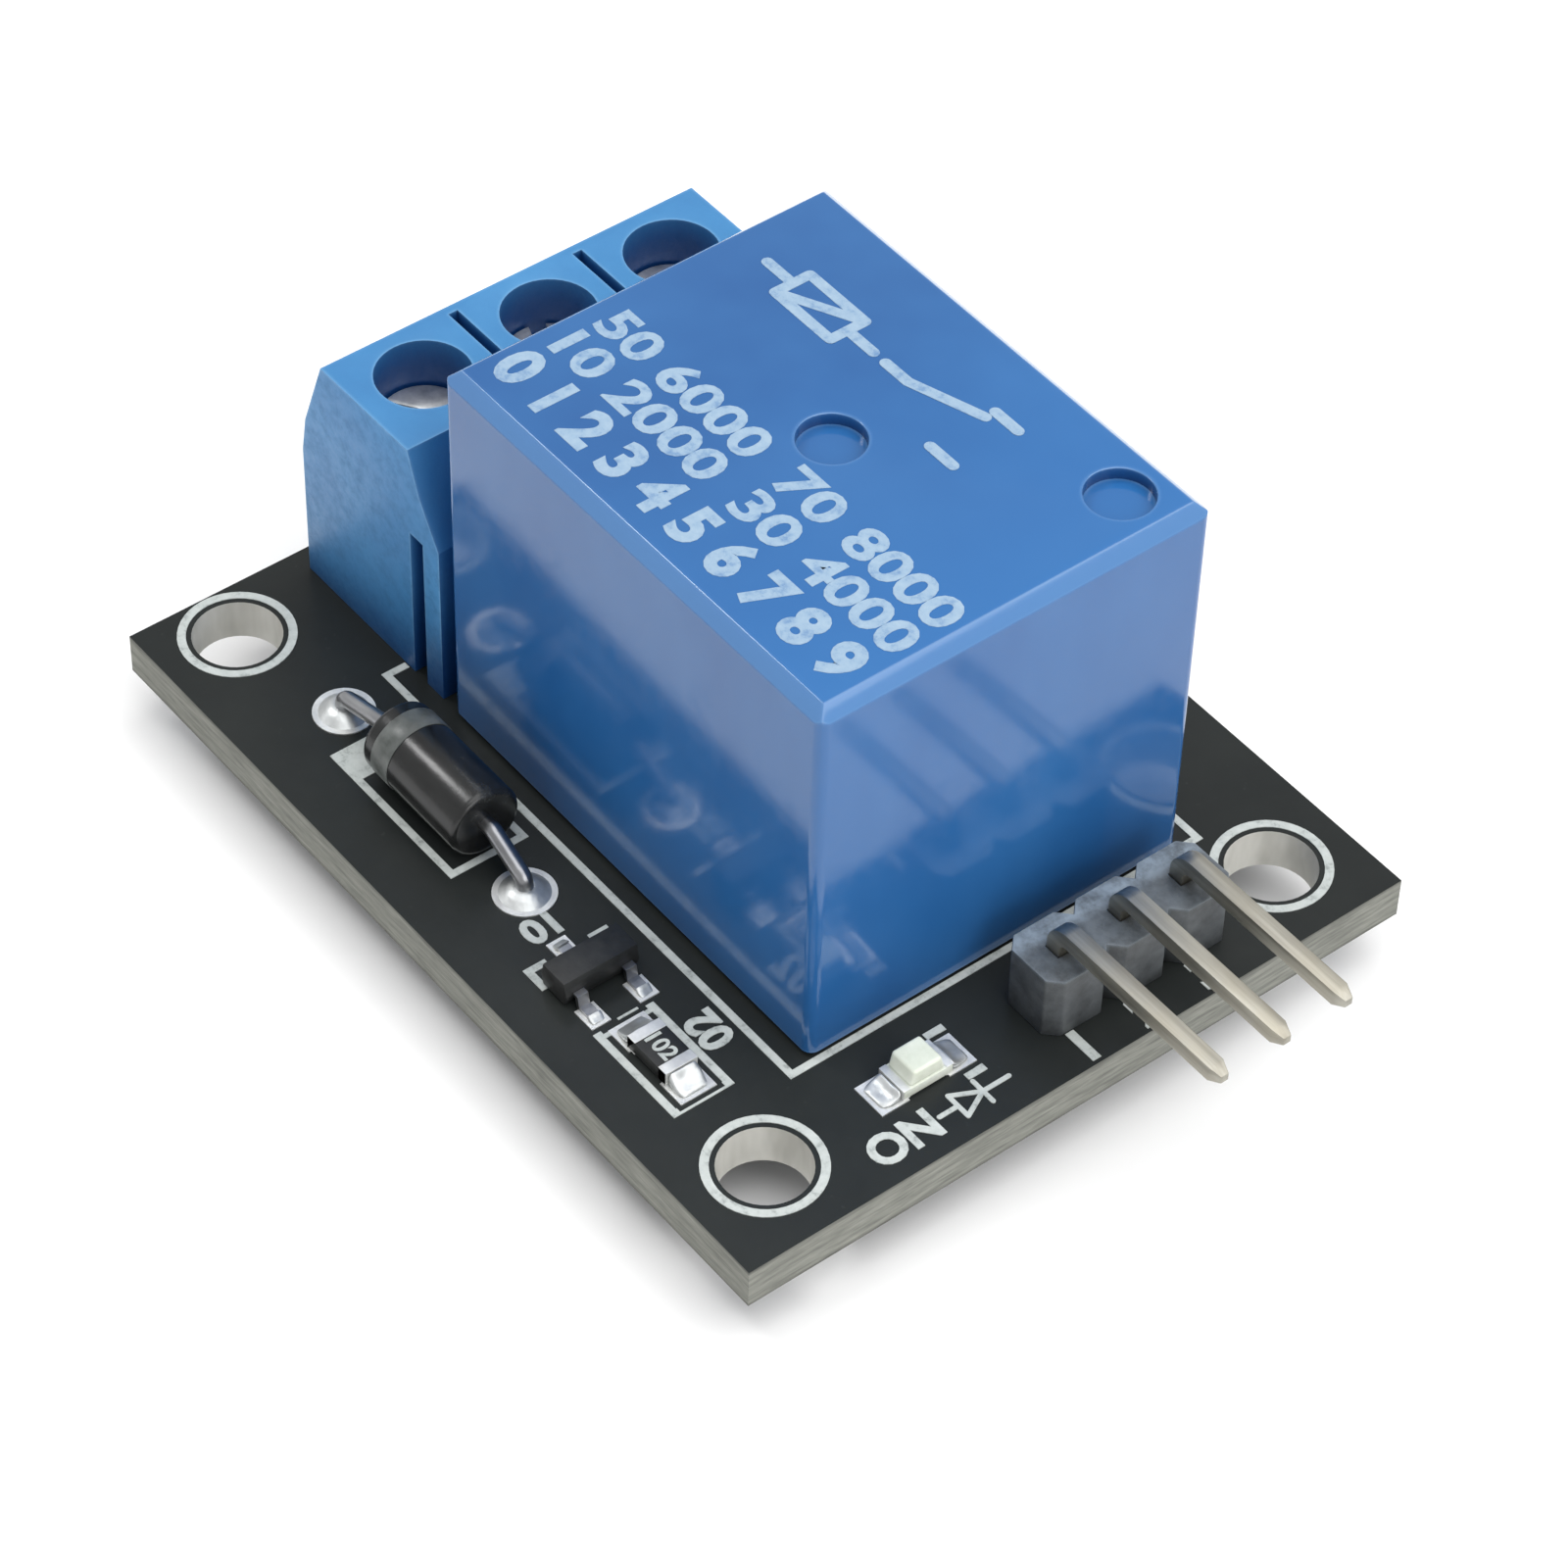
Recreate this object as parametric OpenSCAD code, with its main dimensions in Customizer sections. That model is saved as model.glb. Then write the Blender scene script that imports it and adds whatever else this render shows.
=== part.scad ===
// Relay module board: a sealed relay, a three-way screw terminal and a three-pin
// header on one small circuit board, with a diode, transistor, resistor and lamp.
// Millimetres, +Z up. The origin is the centre of the four mounting holes, on the
// board's underside. +X runs from the screw terminal to the header.

/* [Board] */
// board width along Y
board_w = 26.7; // [26:0.1:28]
// laminate thickness
board_t = 1.6; // [1.2:0.1:2]
// mounting hole diameter
hole_d = 3.1; // [2.6:0.1:3.2]
// from the board's terminal-side edge to the nearest hole centres
hole_edge = 2.1; // [2:0.1:2.3]
// from the board's header-side edge to the nearest hole centres
hole_edge_far = 3; // [2.9:0.1:3.2]
// from the board's long edges to the hole centres
hole_edge_side = 2.95; // [2.8:0.05:3.1]
// width of the printed ring round each mounting hole
ring_w = 0.3; // [0.2:0.05:0.45]
// bare laminate between a mounting hole and its ring
ring_gap = 0.18; // [0.1:0.01:0.2]
// copper and tin thickness
copper_t = 0.05; // [0.03:0.01:0.07]
// print thickness
print_t = 0.03; // [0.02:0.01:0.05]
// width of the thin printed lines
line_w = 0.27; // [0.15:0.01:0.35]
// how far every trimmed lead stands out below the board
lead_trim = 1.9; // [1.5:0.1:2.4]
// height of a solder cone below its pad
solder_h = 1; // [0.7:0.1:1.3]

/* [Relay cover and base] */
// cover length along X
relay_l = 19.05; // [18.9:0.05:19.4]
// cover width along Y
relay_w = 15.25; // [15.1:0.05:15.6]
// cover height
relay_h = 15.15; // [14.9:0.05:16]
// gap between the screw terminal and the cover
relay_gap = 0.7; // [0.5:0.05:0.8]
// relay centre line along Y
relay_y = 0.9; // [0.7:0.1:1.1]
// cover wall
cover_wall = 0.8; // [0.6:0.05:0.85]
// bevel round the top of the cover
cover_bevel = 0.45; // [0.2:0.05:0.55]
// radius of the cover's upright edges
cover_edge_r = 0.4; // [0.2:0.05:0.6]
// diameter of the two round recesses in the cover's top
recess_d = 2.3; // [1.5:0.1:2.6]
// depth of the two round recesses
recess_depth = 0.45; // [0.1:0.05:0.5]
// base plate thickness
base_t = 1; // [0.8:0.1:1.2]
// height of the feet that hold the relay off the board
relay_stand = 0.2; // [0.15:0.05:0.4]

/* [Relay magnet] */
// gap between the yoke and the bobbin
coil_gap = 0.1; // [0.05:0.05:0.3]
// coil outer diameter
coil_d = 8.6; // [7.5:0.1:8.8]
// free height between the upper contact arm and the cover's inside
head_room = 1.2; // [0.9:0.05:1.5]
// bobbin flange length along X
flange_l = 9.2; // [8.8:0.1:9.3]
// bobbin flange width along Y
flange_w = 9.6; // [9:0.1:10.4]
// bobbin flange thickness
flange_t = 0.7; // [0.5:0.1:0.9]
// bobbin tube wall
tube_wall = 0.6; // [0.4:0.1:0.8]
// core diameter
core_d = 3.6; // [3:0.1:4]
// core head diameter
core_head_d = 6.6; // [5.5:0.1:7.5]
// core head thickness
core_head_t = 0.8; // [0.6:0.1:1]
// gap left over the core head when the armature is down
pole_shim = 0.04; // [0.03:0.01:0.08]
// yoke and armature thickness
iron_t = 1; // [0.8:0.05:1]
// yoke and armature width
iron_w = 8; // [7:0.1:8.4]

/* [Relay contacts] */
// angle the armature stands open at rest
arm_open = 3; // [2.5:0.1:3.5]
// leaf spring thickness
leaf_t = 0.15; // [0.1:0.01:0.18]
// leaf spring width over the armature
leaf_w = 6; // [5:0.1:6.6]
// leaf spring width at the contact
leaf_tip_w = 3; // [2.4:0.1:3.4]
// contact button diameter
contact_d = 2.2; // [1.8:0.1:2.3]
// contact button thickness
contact_t = 0.3; // [0.2:0.02:0.36]
// thickness of the two fixed contact arms
arm_plate_t = 0.4; // [0.3:0.05:0.5]

/* [Relay pins] */
// common pin, from the cover's common-pin end
com_pin_x = 1.45; // [1.4:0.01:1.5]
// coil pins, from the same end
coil_pin_x = 3.35; // [3.3:0.05:3.6]
// contact pins, from the cover's other end
contact_pin_in = 3.45; // [3.35:0.05:3.6]
// coil and contact pins, in from the cover's long sides
side_pin_in = 1.625; // [1.575:0.025:1.7]
// width of a flat relay pin
flat_pin_w = 1; // [0.8:0.05:1.1]
// thickness of a flat relay pin
flat_pin_t = 0.5; // [0.4:0.05:0.55]

/* [Screw terminal] */
// pole spacing
pole_pitch = 5.08; // [5:0.01:5.15]
// housing depth along X at its foot
term_d = 7.85; // [7.75:0.05:8]
// housing height
term_h = 10.1; // [9.8:0.1:11]
// from the board's edge to the wire face
term_edge = 0.9; // [0.8:0.05:1]
// housing centre line along Y
term_y = 1; // [0.8:0.1:1.2]
// screw axis, behind the wire face
screw_x = 3.6; // [3.55:0.05:3.7]
// screw well diameter
well_d = 3.3; // [3.1:0.05:3.4]
// wire entry width
entry_w = 3; // [2.4:0.1:3.2]
// wire entry height
entry_h = 2.6; // [2.3:0.05:2.8]
// width of the slots between the wells
gap_slot_w = 0.35; // [0.25:0.05:0.5]
// depth of the slots between the wells
gap_slot_depth = 1.5; // [0.5:0.1:2.5]
// width of the groove and rib that lock blocks together
lock_w = 0.7; // [0.5:0.05:0.75]

/* [Terminal metalwork] */
// clamp width
clamp_w = 3.8; // [3.4:0.1:3.9]
// clamp sheet thickness
clamp_t = 0.6; // [0.5:0.05:0.7]
// threaded plate thickness
nut_t = 0.8; // [0.7:0.05:1]
// screw thread diameter
screw_d = 2.5; // [2.2:0.1:2.6]
// screw thread pitch
screw_pitch = 0.45; // [0.4:0.01:0.46]
// turns from open to fully down
screw_turns = 4.5; // [4:0.1:4.6]
// screw head thickness
head_t = 0.9; // [0.8:0.05:1]
// driver slot width
driver_slot_w = 0.6; // [0.4:0.05:0.8]
// driver slot depth
driver_slot_depth = 0.5; // [0.3:0.05:0.6]
// wire guard thickness
guard_t = 0.4; // [0.3:0.05:0.45]

/* [Header] */
// pin spacing
pin_pitch = 2.54; // [2.5:0.01:2.56]
// insulator depth and height
insul = 2.54; // [2.4:0.01:2.6]
// notch size between two cells of the insulator
notch = 0.45; // [0.2:0.05:0.6]
// pin row, from the relay's nearest face
header_gap = 2.7; // [2.5:0.05:2.9]
// pin row, in from the board's edge
header_edge = 2.8; // [2.6:0.1:3]
// middle pin along Y
header_y = 3.6; // [3.5:0.1:3.7]
// pin side
pin_w = 0.6; // [0.5:0.01:0.66]
// height of the level part's axis above the insulator
pin_rise = 0.91; // [0.86:0.05:1.4]
// pin tips, from the upright part of the pins
pin_reach = 7.7; // [6.5:0.1:8]
// length of the tapered tip
pin_tip = 0.45; // [0.4:0.05:1]

/* [Diode] */
// body length
diode_l = 5.1; // [4.6:0.1:5.3]
// body diameter
diode_d = 2.7; // [2.4:0.1:2.8]
// body centre, off the middle of its leads
diode_shift = 0.47; // [0.3:0.01:0.5]
// lead row, out from the relay's near side
diode_out = 2.875; // [2.8:0.025:2.95]
// lead spacing
diode_span = 10.16; // [10:0.02:10.4]
// middle of the two leads, from the relay's common-pin end
diode_from = 2.88; // [2.8:0.02:3]
// lead diameter
diode_lead_d = 0.6; // [0.5:0.05:0.8]
// body height off the board
diode_lift = 0.15; // [0.05:0.05:0.4]

/* [Surface parts] */
// transistor centre, from the relay's common-pin end
tran_from = 12.1; // [12:0.05:12.15]
// transistor centre, out from the relay's near side
tran_out = 3.325; // [3.25:0.025:3.4]
// transistor body length along Y
tran_l = 2.9; // [2.8:0.05:3]
// transistor body width along X
tran_w = 1.3; // [1.2:0.05:1.4]
// transistor body thickness
tran_t = 0.95; // [0.85:0.05:1.05]
// resistor centre, from the relay's common-pin end
res_from = 16.2; // [16.15:0.05:16.25]
// resistor centre, out from the relay's near side
res_out = 3.575; // [3.525:0.025:3.625]
// resistor length along X
res_l = 2; // [1.9:0.05:2.1]
// resistor width along Y
res_w = 1.25; // [1.15:0.05:1.35]
// resistor thickness
res_t = 0.5; // [0.45:0.05:0.6]
// lamp centre, from the relay's nearest face
led_gap = 2.45; // [2.4:0.05:2.5]
// lamp centre along Y
led_y = -4.4; // [-4.45:0.05:-4.35]
// lamp length along Y
led_l = 2; // [1.9:0.05:2.1]
// lamp width along X
led_w = 1.25; // [1.15:0.05:1.35]
// lamp lens height above the lamp's base
lens_h = 0.6; // [0.4:0.05:0.8]

/* [Hidden] */

// facets on round things, by size
fine = 48;
mid = 32;
small = 20;
// cutting tools run past a face by this much
over = 0.5;
// radial play of a shaft in its hole
run_fit = 0.03;
// play between a part and the hole or slot it drops into
drop_fit = 0.05;
// play that keeps two moving faces from rubbing
rub = 0.02;

pole_ys = [-pole_pitch, 0, pole_pitch];
header_ys = [-pin_pitch, 0, pin_pitch];

// along X the parts stand in a row, so the board's length follows from them
board_l = term_edge + term_d + relay_gap + relay_l + header_gap + header_edge;
hole_dx = board_l - hole_edge - hole_edge_far;
hole_dy = board_w - 2 * hole_edge_side;
board_x0 = -hole_dx / 2 - hole_edge;
board_x1 = board_x0 + board_l;
term_x0 = board_x0 + term_edge;
relay_x0 = term_x0 + term_d + relay_gap;
relay_x1 = relay_x0 + relay_l;
relay_near = relay_y - relay_w / 2;
header_x = relay_x1 + header_gap;
led_x = relay_x1 + led_gap;
diode_mid = relay_x0 + diode_from;
diode_x = diode_mid + diode_shift;
diode_y = relay_near - diode_out;
tran_x = relay_x0 + tran_from;
tran_y = relay_near - tran_out;
res_x = relay_x0 + res_from;
res_y = relay_near - res_out;
below = board_t + lead_trim;

// relay, measured from its seat on the board at the common-pin end
cover_z0 = relay_stand;
cover_top = relay_stand + relay_h;
base_top = relay_stand + base_t;
side_pin_y = relay_w / 2 - side_pin_in;
contact_pin_x = relay_l - contact_pin_in;
yoke_x = com_pin_x + flat_pin_t / 2;
coil_x = yoke_x + iron_t + coil_gap + max(flange_l, coil_d) / 2;
contact_at = contact_pin_x - yoke_x;
contact_neck_d = 1;
// the lever's layers, up from the pivot line
arm_top = rub + iron_t;
leaf_top = arm_top + leaf_t;
open_face_z = arm_top - contact_t - rub;
closed_face_z = leaf_top + contact_t + rub;
closed_arm_top = closed_face_z + contact_t + arm_plate_t;
// the pivot hangs below the cover by the room the upper contact needs
pivot_z = cover_top - cover_wall - head_room - closed_arm_top - contact_at * sin(arm_open);
head_z = pivot_z - pole_shim - core_head_t;
bobbin_z = base_top + iron_t;
bobbin_h = head_z - bobbin_z;
yoke_foot = 3.2;
tenon_d = 2.6;
tube_d = core_d + 2 * run_fit + 2 * tube_wall;
// armature length, short of the contact buttons
arm_gap = 1.2;
arm_end = contact_at - contact_d / 2 - arm_gap;
arm_heel = 0.05;
leaf_end_gap = 0.4;
leaf_tail_l = 4.2;
leaf_tip_over = 0.3;
rivet_in = 2.6;
rivet_out = 2.8;
rivet_xs = [rivet_in, arm_end - rivet_out];
rivet_d = 1.2;
rivet_head_d = 1.9;
rivet_head_t = 0.25;
rivet_foot = 0.1;
contact_arm_w = 1.5;
contact_arm_over = 1.2;
coil_pin_s = 0.5;
coil_pin_top = 0.9;
ear_wall = 0.3;
com_blade_w = 3;
com_blade_top = 4;
com_neck_h = 1;
// the two round recesses in the cover's top
recess_at = [[9.8, 0.1], [17, 5.6]];
// print on the cover, measured like the relay
sign_w = 0.4;
sign_lead = 1.1;
sign_x = 1.1;
sign_y = 3.6;
coil_sign_x = 3.2;
coil_sign_l = 3.2;
coil_sign_w = 1.8;
lever_sign_x = 9.2;
lever_sign_l = 2.7;
lever_step = 1.3;
bar_gap = 0.8;
bold_row_y = -6.2;
bold_row_h = 1.1;
bold_bars = [3.4, 6.4, 3.2, 1.6];
fine_rows_y = [-4.1, -2.5];
fine_row_h = 0.7;
fine_bars = [2.4, 5, 2.5, 4.7];
foot_d = 1.2;
foot_in = [5.6, 2];
// the board pin under each clamp
clamp_pin = [0.8, 1];

// screw terminal, measured from its seat at the foot of the wire face
term_l = len(pole_ys) * pole_pitch;
clamp_z = 0.8;
wire_z = clamp_z + clamp_t;
guard_z = wire_z + entry_h;
nut_z = guard_z + guard_t + rub;
cavity_top = nut_z + nut_t;
screw_travel = screw_pitch * screw_turns;
// what is left under the screw's head when it is fully down
head_stop = 0.1;
head_z0 = cavity_top + screw_travel + head_stop;
head_play = 0.1;
head_d = well_d - 2 * head_play;
clamp_x0 = 1;
clamp_x1 = 6;
nut_in = 0.9;
guard_in = 0.4;
guard_play = 0.05;
guard_back = 0.2;
guard_lip_h = 0.6;
flare = 0.3;
flare_l = 0.4;
lock_x = 6.23;
lock_h = 6.4;
// the shoulders: in from each face, and down from the top
top_front = 1.35;
front_knee = [0.25, 3.05];
front_drop = 4.55;
top_back = 1.6;
back_knee = [1, 1.7];
back_drop = 3.4;
// how far each screw was left turned, in degrees
screw_set = [35, -20, 70];

diode_z = diode_d / 2 + diode_lift;
lead_bend_r = 0.5;
lead_stub = 0.25;
// the straight ends of a lead reach this far into its bends, a hair thinner
lead_seat = 0.05;
lead_end_d = diode_lead_d - 0.02;
band_in = 0.55;
band_w = 0.9;

// through-hole joints: x, y, drilled hole diameter, pad diameter
function relay_at(x, y) = [relay_x0 + x, relay_y + y];
com_hole = relay_at(com_pin_x, 0);
coil_holes = [relay_at(coil_pin_x, -side_pin_y), relay_at(coil_pin_x, side_pin_y)];
contact_holes = [relay_at(contact_pin_x, -side_pin_y), relay_at(contact_pin_x, side_pin_y)];
diode_holes = [[diode_mid - diode_span / 2, diode_y], [diode_mid + diode_span / 2, diode_y]];
power_hole_d = 1.5;
power_pad_d = 2.8;
coil_hole_d = 1;
coil_pad_d = 2;
header_hole_d = 1.05;
header_pad_d = 1.9;
diode_hole_d = 1.05;
diode_pad_d = 2.15;

// tracks on the underside
wide = 1.6;
thin = 0.6;
track_out = 2.1;
// solder: clear of the pad's edge, thickness at its rim, waist height
solder_rim = 0.2;
solder_foot = 0.12;
solder_waist = 0.6;
solder_skin = 0.12;
collar_h = 0.3;
collar_skin = 0.15;
// solder wedges at the surface joints: length, in from the part's sides
fillet_l = 0.75;
fillet_in = 0.05;
foot_fillet = [0.3, 0.2];

// surface parts
lead_w = 0.42;
lead_t = 0.12;
tran_reach = 1.25;
tran_step = 0.95;
tran_toe = 0.2;
// height of the moulding line on the transistor, as a share of its thickness
tran_waist = 0.4;
// underside of the transistor body, above the board
tran_z = copper_t + 0.08;
cap_l = 0.4;
cap_t = 0.03;
led_base_t = 0.35;
led_wrap = 0.28;
lens_in = 0.3;
lens_slope = 0.15;
pad_l = 1.1;
pad_over = 0.075;
tran_pad_l = 0.95;
tran_pad_out = 0.15;
tran_pad_over = 0.165;
res_pad_x = res_l / 2 + 0.35;
led_pad_y = led_l / 2 + 0.35;

// ---------------------------------------------------------------- helpers

// plate standing in XZ, w thick, centred on y = 0
module standing(w) {
    rotate([90, 0, 0])
        linear_extrude(w, center = true)
            children();
}

// box from corner a to corner b
module span(a, b) {
    translate(a)
        cube(b - a);
}

// rectangle with round corners, from corner a to corner b
module soft_rect(a, b, r) {
    translate([a[0] + r, a[1]])
        square([b[0] - a[0] - 2 * r, b[1] - a[1]]);
    translate([a[0], a[1] + r])
        square([b[0] - a[0], b[1] - a[1] - 2 * r]);
    for (x = [a[0] + r, b[0] - r], y = [a[1] + r, b[1] - r])
        translate([x, y])
            circle(r, $fn = small);
}

// flat band of width w from a to b, with round ends
module track(a, b, w) {
    d = b - a;
    translate(a)
        rotate(atan2(d[1], d[0]))
            translate([0, -w / 2])
                square([norm(d), w]);
    for (p = [a, b])
        translate(p)
            circle(w / 2, $fn = small);
}

// outline of a rectangle drawn with a line of width line_w
module frame_line(a, b) {
    difference() {
        translate(a)
            square(b - a);
        translate(a + [line_w, line_w])
            square(b - a - [2 * line_w, 2 * line_w]);
    }
}

module on_board() {
    translate([0, 0, board_t])
        children();
}

module in_relay() {
    translate([relay_x0, relay_y, board_t])
        children();
}

// armature frame: origin on the pivot line, lifted by angle a
module on_pivot(a) {
    in_relay()
        translate([yoke_x, 0, pivot_z])
            rotate([0, -a, 0])
                children();
}

module in_terminal(i) {
    translate([term_x0, term_y + pole_ys[i], board_t])
        children();
}

module at_holes() {
    for (x = [-hole_dx / 2, hole_dx / 2], y = [-hole_dy / 2, hole_dy / 2])
        translate([x, y, 0])
            children();
}

// ---------------------------------------------------------------- board

module board() {
    color([0.10, 0.11, 0.11])
        difference() {
            span([board_x0, -board_w / 2, 0], [board_x1, board_w / 2, board_t]);
            at_holes()
                translate([0, 0, -over])
                    cylinder(h = board_t + 2 * over, d = hole_d, $fn = fine);
            for (p = concat([com_hole], contact_holes))
                drill(p, power_hole_d);
            for (p = coil_holes)
                drill(p, coil_hole_d);
            for (p = diode_holes)
                drill(p, diode_hole_d);
            for (y = pole_ys)
                drill([term_x0 + screw_x, term_y + y], power_hole_d);
            for (y = header_ys)
                drill([header_x, header_y + y], header_hole_d);
        }
}

module drill(p, d) {
    translate([p[0], p[1], -over])
        cylinder(h = board_t + 2 * over, d = d, $fn = small);
}

module hole_ring() {
    inner_d = hole_d + 2 * ring_gap;
    difference() {
        circle(d = inner_d + 2 * ring_w, $fn = fine);
        circle(d = inner_d, $fn = fine);
    }
}

module silkscreen() {
    color([0.88, 0.90, 0.88])
        on_board()
            linear_extrude(print_t)
                difference() {
                    print_lines();
                    pad_shapes(ring_gap);
                    translate([term_x0 - drop_fit, term_y - term_l / 2 - drop_fit])
                        square([term_d + 2 * drop_fit, term_l + lock_w + 2 * drop_fit]);
                }
}

// everything printed on the board, as flat shapes
module print_lines() {
    for (x = [-hole_dx / 2, hole_dx / 2], y = [-hole_dy / 2, hole_dy / 2])
        translate([x, y])
            hole_ring();
    relay_outline();
    diode_outline();
    transistor_marks();
    // resistor outline
    res_half = [res_l / 2 + 1.17, res_w / 2 + 0.56];
    frame_line([res_x, res_y] - res_half, [res_x, res_y] + res_half);
    lamp_marks();
}

// box round the relay, open space at its common-pin end
module relay_outline() {
    back = 2.87;
    side = 0.9;
    front = 0.25;
    frame_line([relay_x0 - back, relay_y - relay_w / 2 - side],
               [relay_x0 + relay_l + front, relay_y + relay_w / 2 + side]);
}

// box round the diode, filled at the banded end
module diode_outline() {
    side = diode_d / 2 + 0.2;
    near = diode_x + diode_l / 2 + 0.15;
    far = diode_x - diode_l / 2 - 1.6;
    fill_l = 1.5;
    frame_line([far, diode_y - side], [near, diode_y + side]);
    translate([far, diode_y - side])
        square([fill_l, 2 * side]);
}

// corner and two dashes on the transistor's single-lead side
module transistor_marks() {
    side = tran_x - tran_w / 2 - 0.8;
    end = tran_y - tran_l / 2 - 0.15;
    dash = 0.75;
    translate([side, end])
        square([1.05, line_w]);
    translate([side, end])
        square([line_w, 0.85]);
    for (y = [tran_y - 0.2, tran_y + 0.95])
        translate([side, y])
            square([line_w, dash]);
}

// two corners at one end of the lamp
module lamp_marks() {
    out = led_w / 2 + 0.4;
    end = led_y + led_l / 2 + 0.2;
    long = 0.75;
    short = 0.3;
    for (s = [-1, 1]) {
        translate([led_x + s * out - line_w / 2, end])
            square([line_w, long]);
        translate([led_x + s * out - line_w / 2 - (s > 0 ? short : 0), end + long - line_w])
            square([short + line_w, line_w]);
    }
}

module ring_pad(p, pad_d, bore_d) {
    translate(p)
        difference() {
            circle(d = pad_d, $fn = mid);
            circle(d = bore_d, $fn = small);
        }
}

// the component side's pads without their holes, each grown by g all round
module pad_shapes(g) {
    for (p = diode_holes)
        translate(p)
            circle(d = diode_pad_d + 2 * g, $fn = mid);
    for (s = [-1, 1]) {
        translate([res_x + s * res_pad_x, res_y])
            square([pad_l + 2 * g, res_w + 2 * (pad_over + g)], center = true);
        translate([led_x, led_y + s * led_pad_y])
            square([led_w + 2 * (pad_over + g), pad_l + 2 * g], center = true);
    }
    for (q = tran_feet())
        translate([q[0] + q[2] * tran_pad_out, q[1]])
            square([tran_pad_l + 2 * g, lead_w + 2 * (tran_pad_over + g)], center = true);
}

module pads_top() {
    color([0.80, 0.82, 0.82])
        on_board()
            linear_extrude(copper_t)
                difference() {
                    pad_shapes(0);
                    for (p = diode_holes)
                        translate(p)
                            circle(d = diode_hole_d, $fn = small);
                }
}

module pads_bottom() {
    color([0.80, 0.82, 0.82])
        translate([0, 0, -copper_t])
            linear_extrude(copper_t) {
                for (p = concat([com_hole], contact_holes))
                    ring_pad(p, power_pad_d, power_hole_d);
                for (y = pole_ys)
                    ring_pad([term_x0 + screw_x, term_y + y], power_pad_d, power_hole_d);
                for (p = coil_holes)
                    ring_pad(p, coil_pad_d, coil_hole_d);
                for (y = header_ys)
                    ring_pad([header_x, header_y + y], header_pad_d, header_hole_d);
                for (p = diode_holes)
                    ring_pad(p, diode_pad_d, diode_hole_d);
            }
}

// covered copper on the underside, from the relay to the terminal and header
module tracks_bottom() {
    far_y = relay_y + side_pin_y + track_out;
    near_y = relay_y - side_pin_y - track_out;
    turn_x = coil_holes[1][0] + track_out;
    poles = [for (y = pole_ys) [term_x0 + screw_x, term_y + y]];
    color([0.13, 0.14, 0.14])
        translate([0, 0, -copper_t])
            linear_extrude(copper_t)
                difference() {
                    union() {
                        track(com_hole, poles[1], wide);
                        track(contact_holes[1], [contact_holes[1][0], far_y], wide);
                        track([contact_holes[1][0], far_y], [poles[2][0], far_y], wide);
                        track([poles[2][0], far_y], poles[2], wide);
                        track(contact_holes[0], [contact_holes[0][0], near_y], wide);
                        track([contact_holes[0][0], near_y], [poles[0][0], near_y], wide);
                        track([poles[0][0], near_y], poles[0], wide);
                        track(coil_holes[1], [turn_x, header_y], thin);
                        track([turn_x, header_y], [header_x, header_y], thin);
                    }
                    for (p = concat([com_hole], contact_holes, poles))
                        translate(p)
                            circle(d = power_pad_d, $fn = mid);
                    for (p = coil_holes)
                        translate(p)
                            circle(d = coil_pad_d, $fn = mid);
                    for (y = header_ys)
                        translate([header_x, header_y + y])
                            circle(d = header_pad_d, $fn = mid);
                    for (p = diode_holes)
                        translate(p)
                            circle(d = diode_pad_d, $fn = mid);
                }
}

// solder round one lead: fills the hole and ends in a cone under the pad
module solder_joint(p, bore_d, pad_d, tip_r) {
    translate([p[0], p[1], 0])
        rotate_extrude($fn = small)
            polygon([[0, board_t - copper_t],
                     [bore_d / 2, board_t - copper_t],
                     [bore_d / 2, -copper_t],
                     [pad_d / 2 - solder_rim, -copper_t],
                     [pad_d / 2 - solder_rim - solder_foot, -copper_t - solder_foot],
                     [tip_r + solder_skin, -copper_t - solder_waist],
                     [tip_r, -copper_t - solder_h],
                     [0, -copper_t - solder_h]]);
}

// radius just outside a lead of the given two sides
function round_lead(a, b) = norm([a, b]) / 2 + copper_t;

// a square-cornered lead through the board, used to bore its solder
module flat_lead(p, size) {
    translate([p[0], p[1], board_t - below / 2])
        cube([size[0], size[1], 2 * below], center = true);
}

module solder_bottom() {
    color([0.84, 0.85, 0.86])
        difference() {
            union() {
                for (p = concat([com_hole], contact_holes))
                    solder_joint(p, power_hole_d, power_pad_d,
                                 round_lead(flat_pin_t, flat_pin_w));
                for (y = pole_ys)
                    solder_joint([term_x0 + screw_x, term_y + y],
                                 power_hole_d, power_pad_d,
                                 round_lead(clamp_pin[0], clamp_pin[1]));
                for (p = coil_holes)
                    solder_joint(p, coil_hole_d, coil_pad_d, round_lead(coil_pin_s, coil_pin_s));
                for (y = header_ys)
                    solder_joint([header_x, header_y + y],
                                 header_hole_d, header_pad_d, round_lead(pin_w, pin_w));
                for (p = diode_holes)
                    solder_joint(p, diode_hole_d, diode_pad_d, diode_lead_d / 2 + copper_t);
            }
            for (p = concat([com_hole], contact_holes))
                flat_lead(p, [flat_pin_t, flat_pin_w]);
            for (p = coil_holes)
                flat_lead(p, [coil_pin_s, coil_pin_s]);
            for (y = pole_ys)
                flat_lead([term_x0 + screw_x, term_y + y], clamp_pin);
            for (y = header_ys)
                flat_lead([header_x, header_y + y], [pin_w, pin_w]);
            for (p = diode_holes)
                translate([p[0], p[1], -below])
                    cylinder(h = 2 * below, d = lead_end_d, $fn = small);
        }
}

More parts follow.
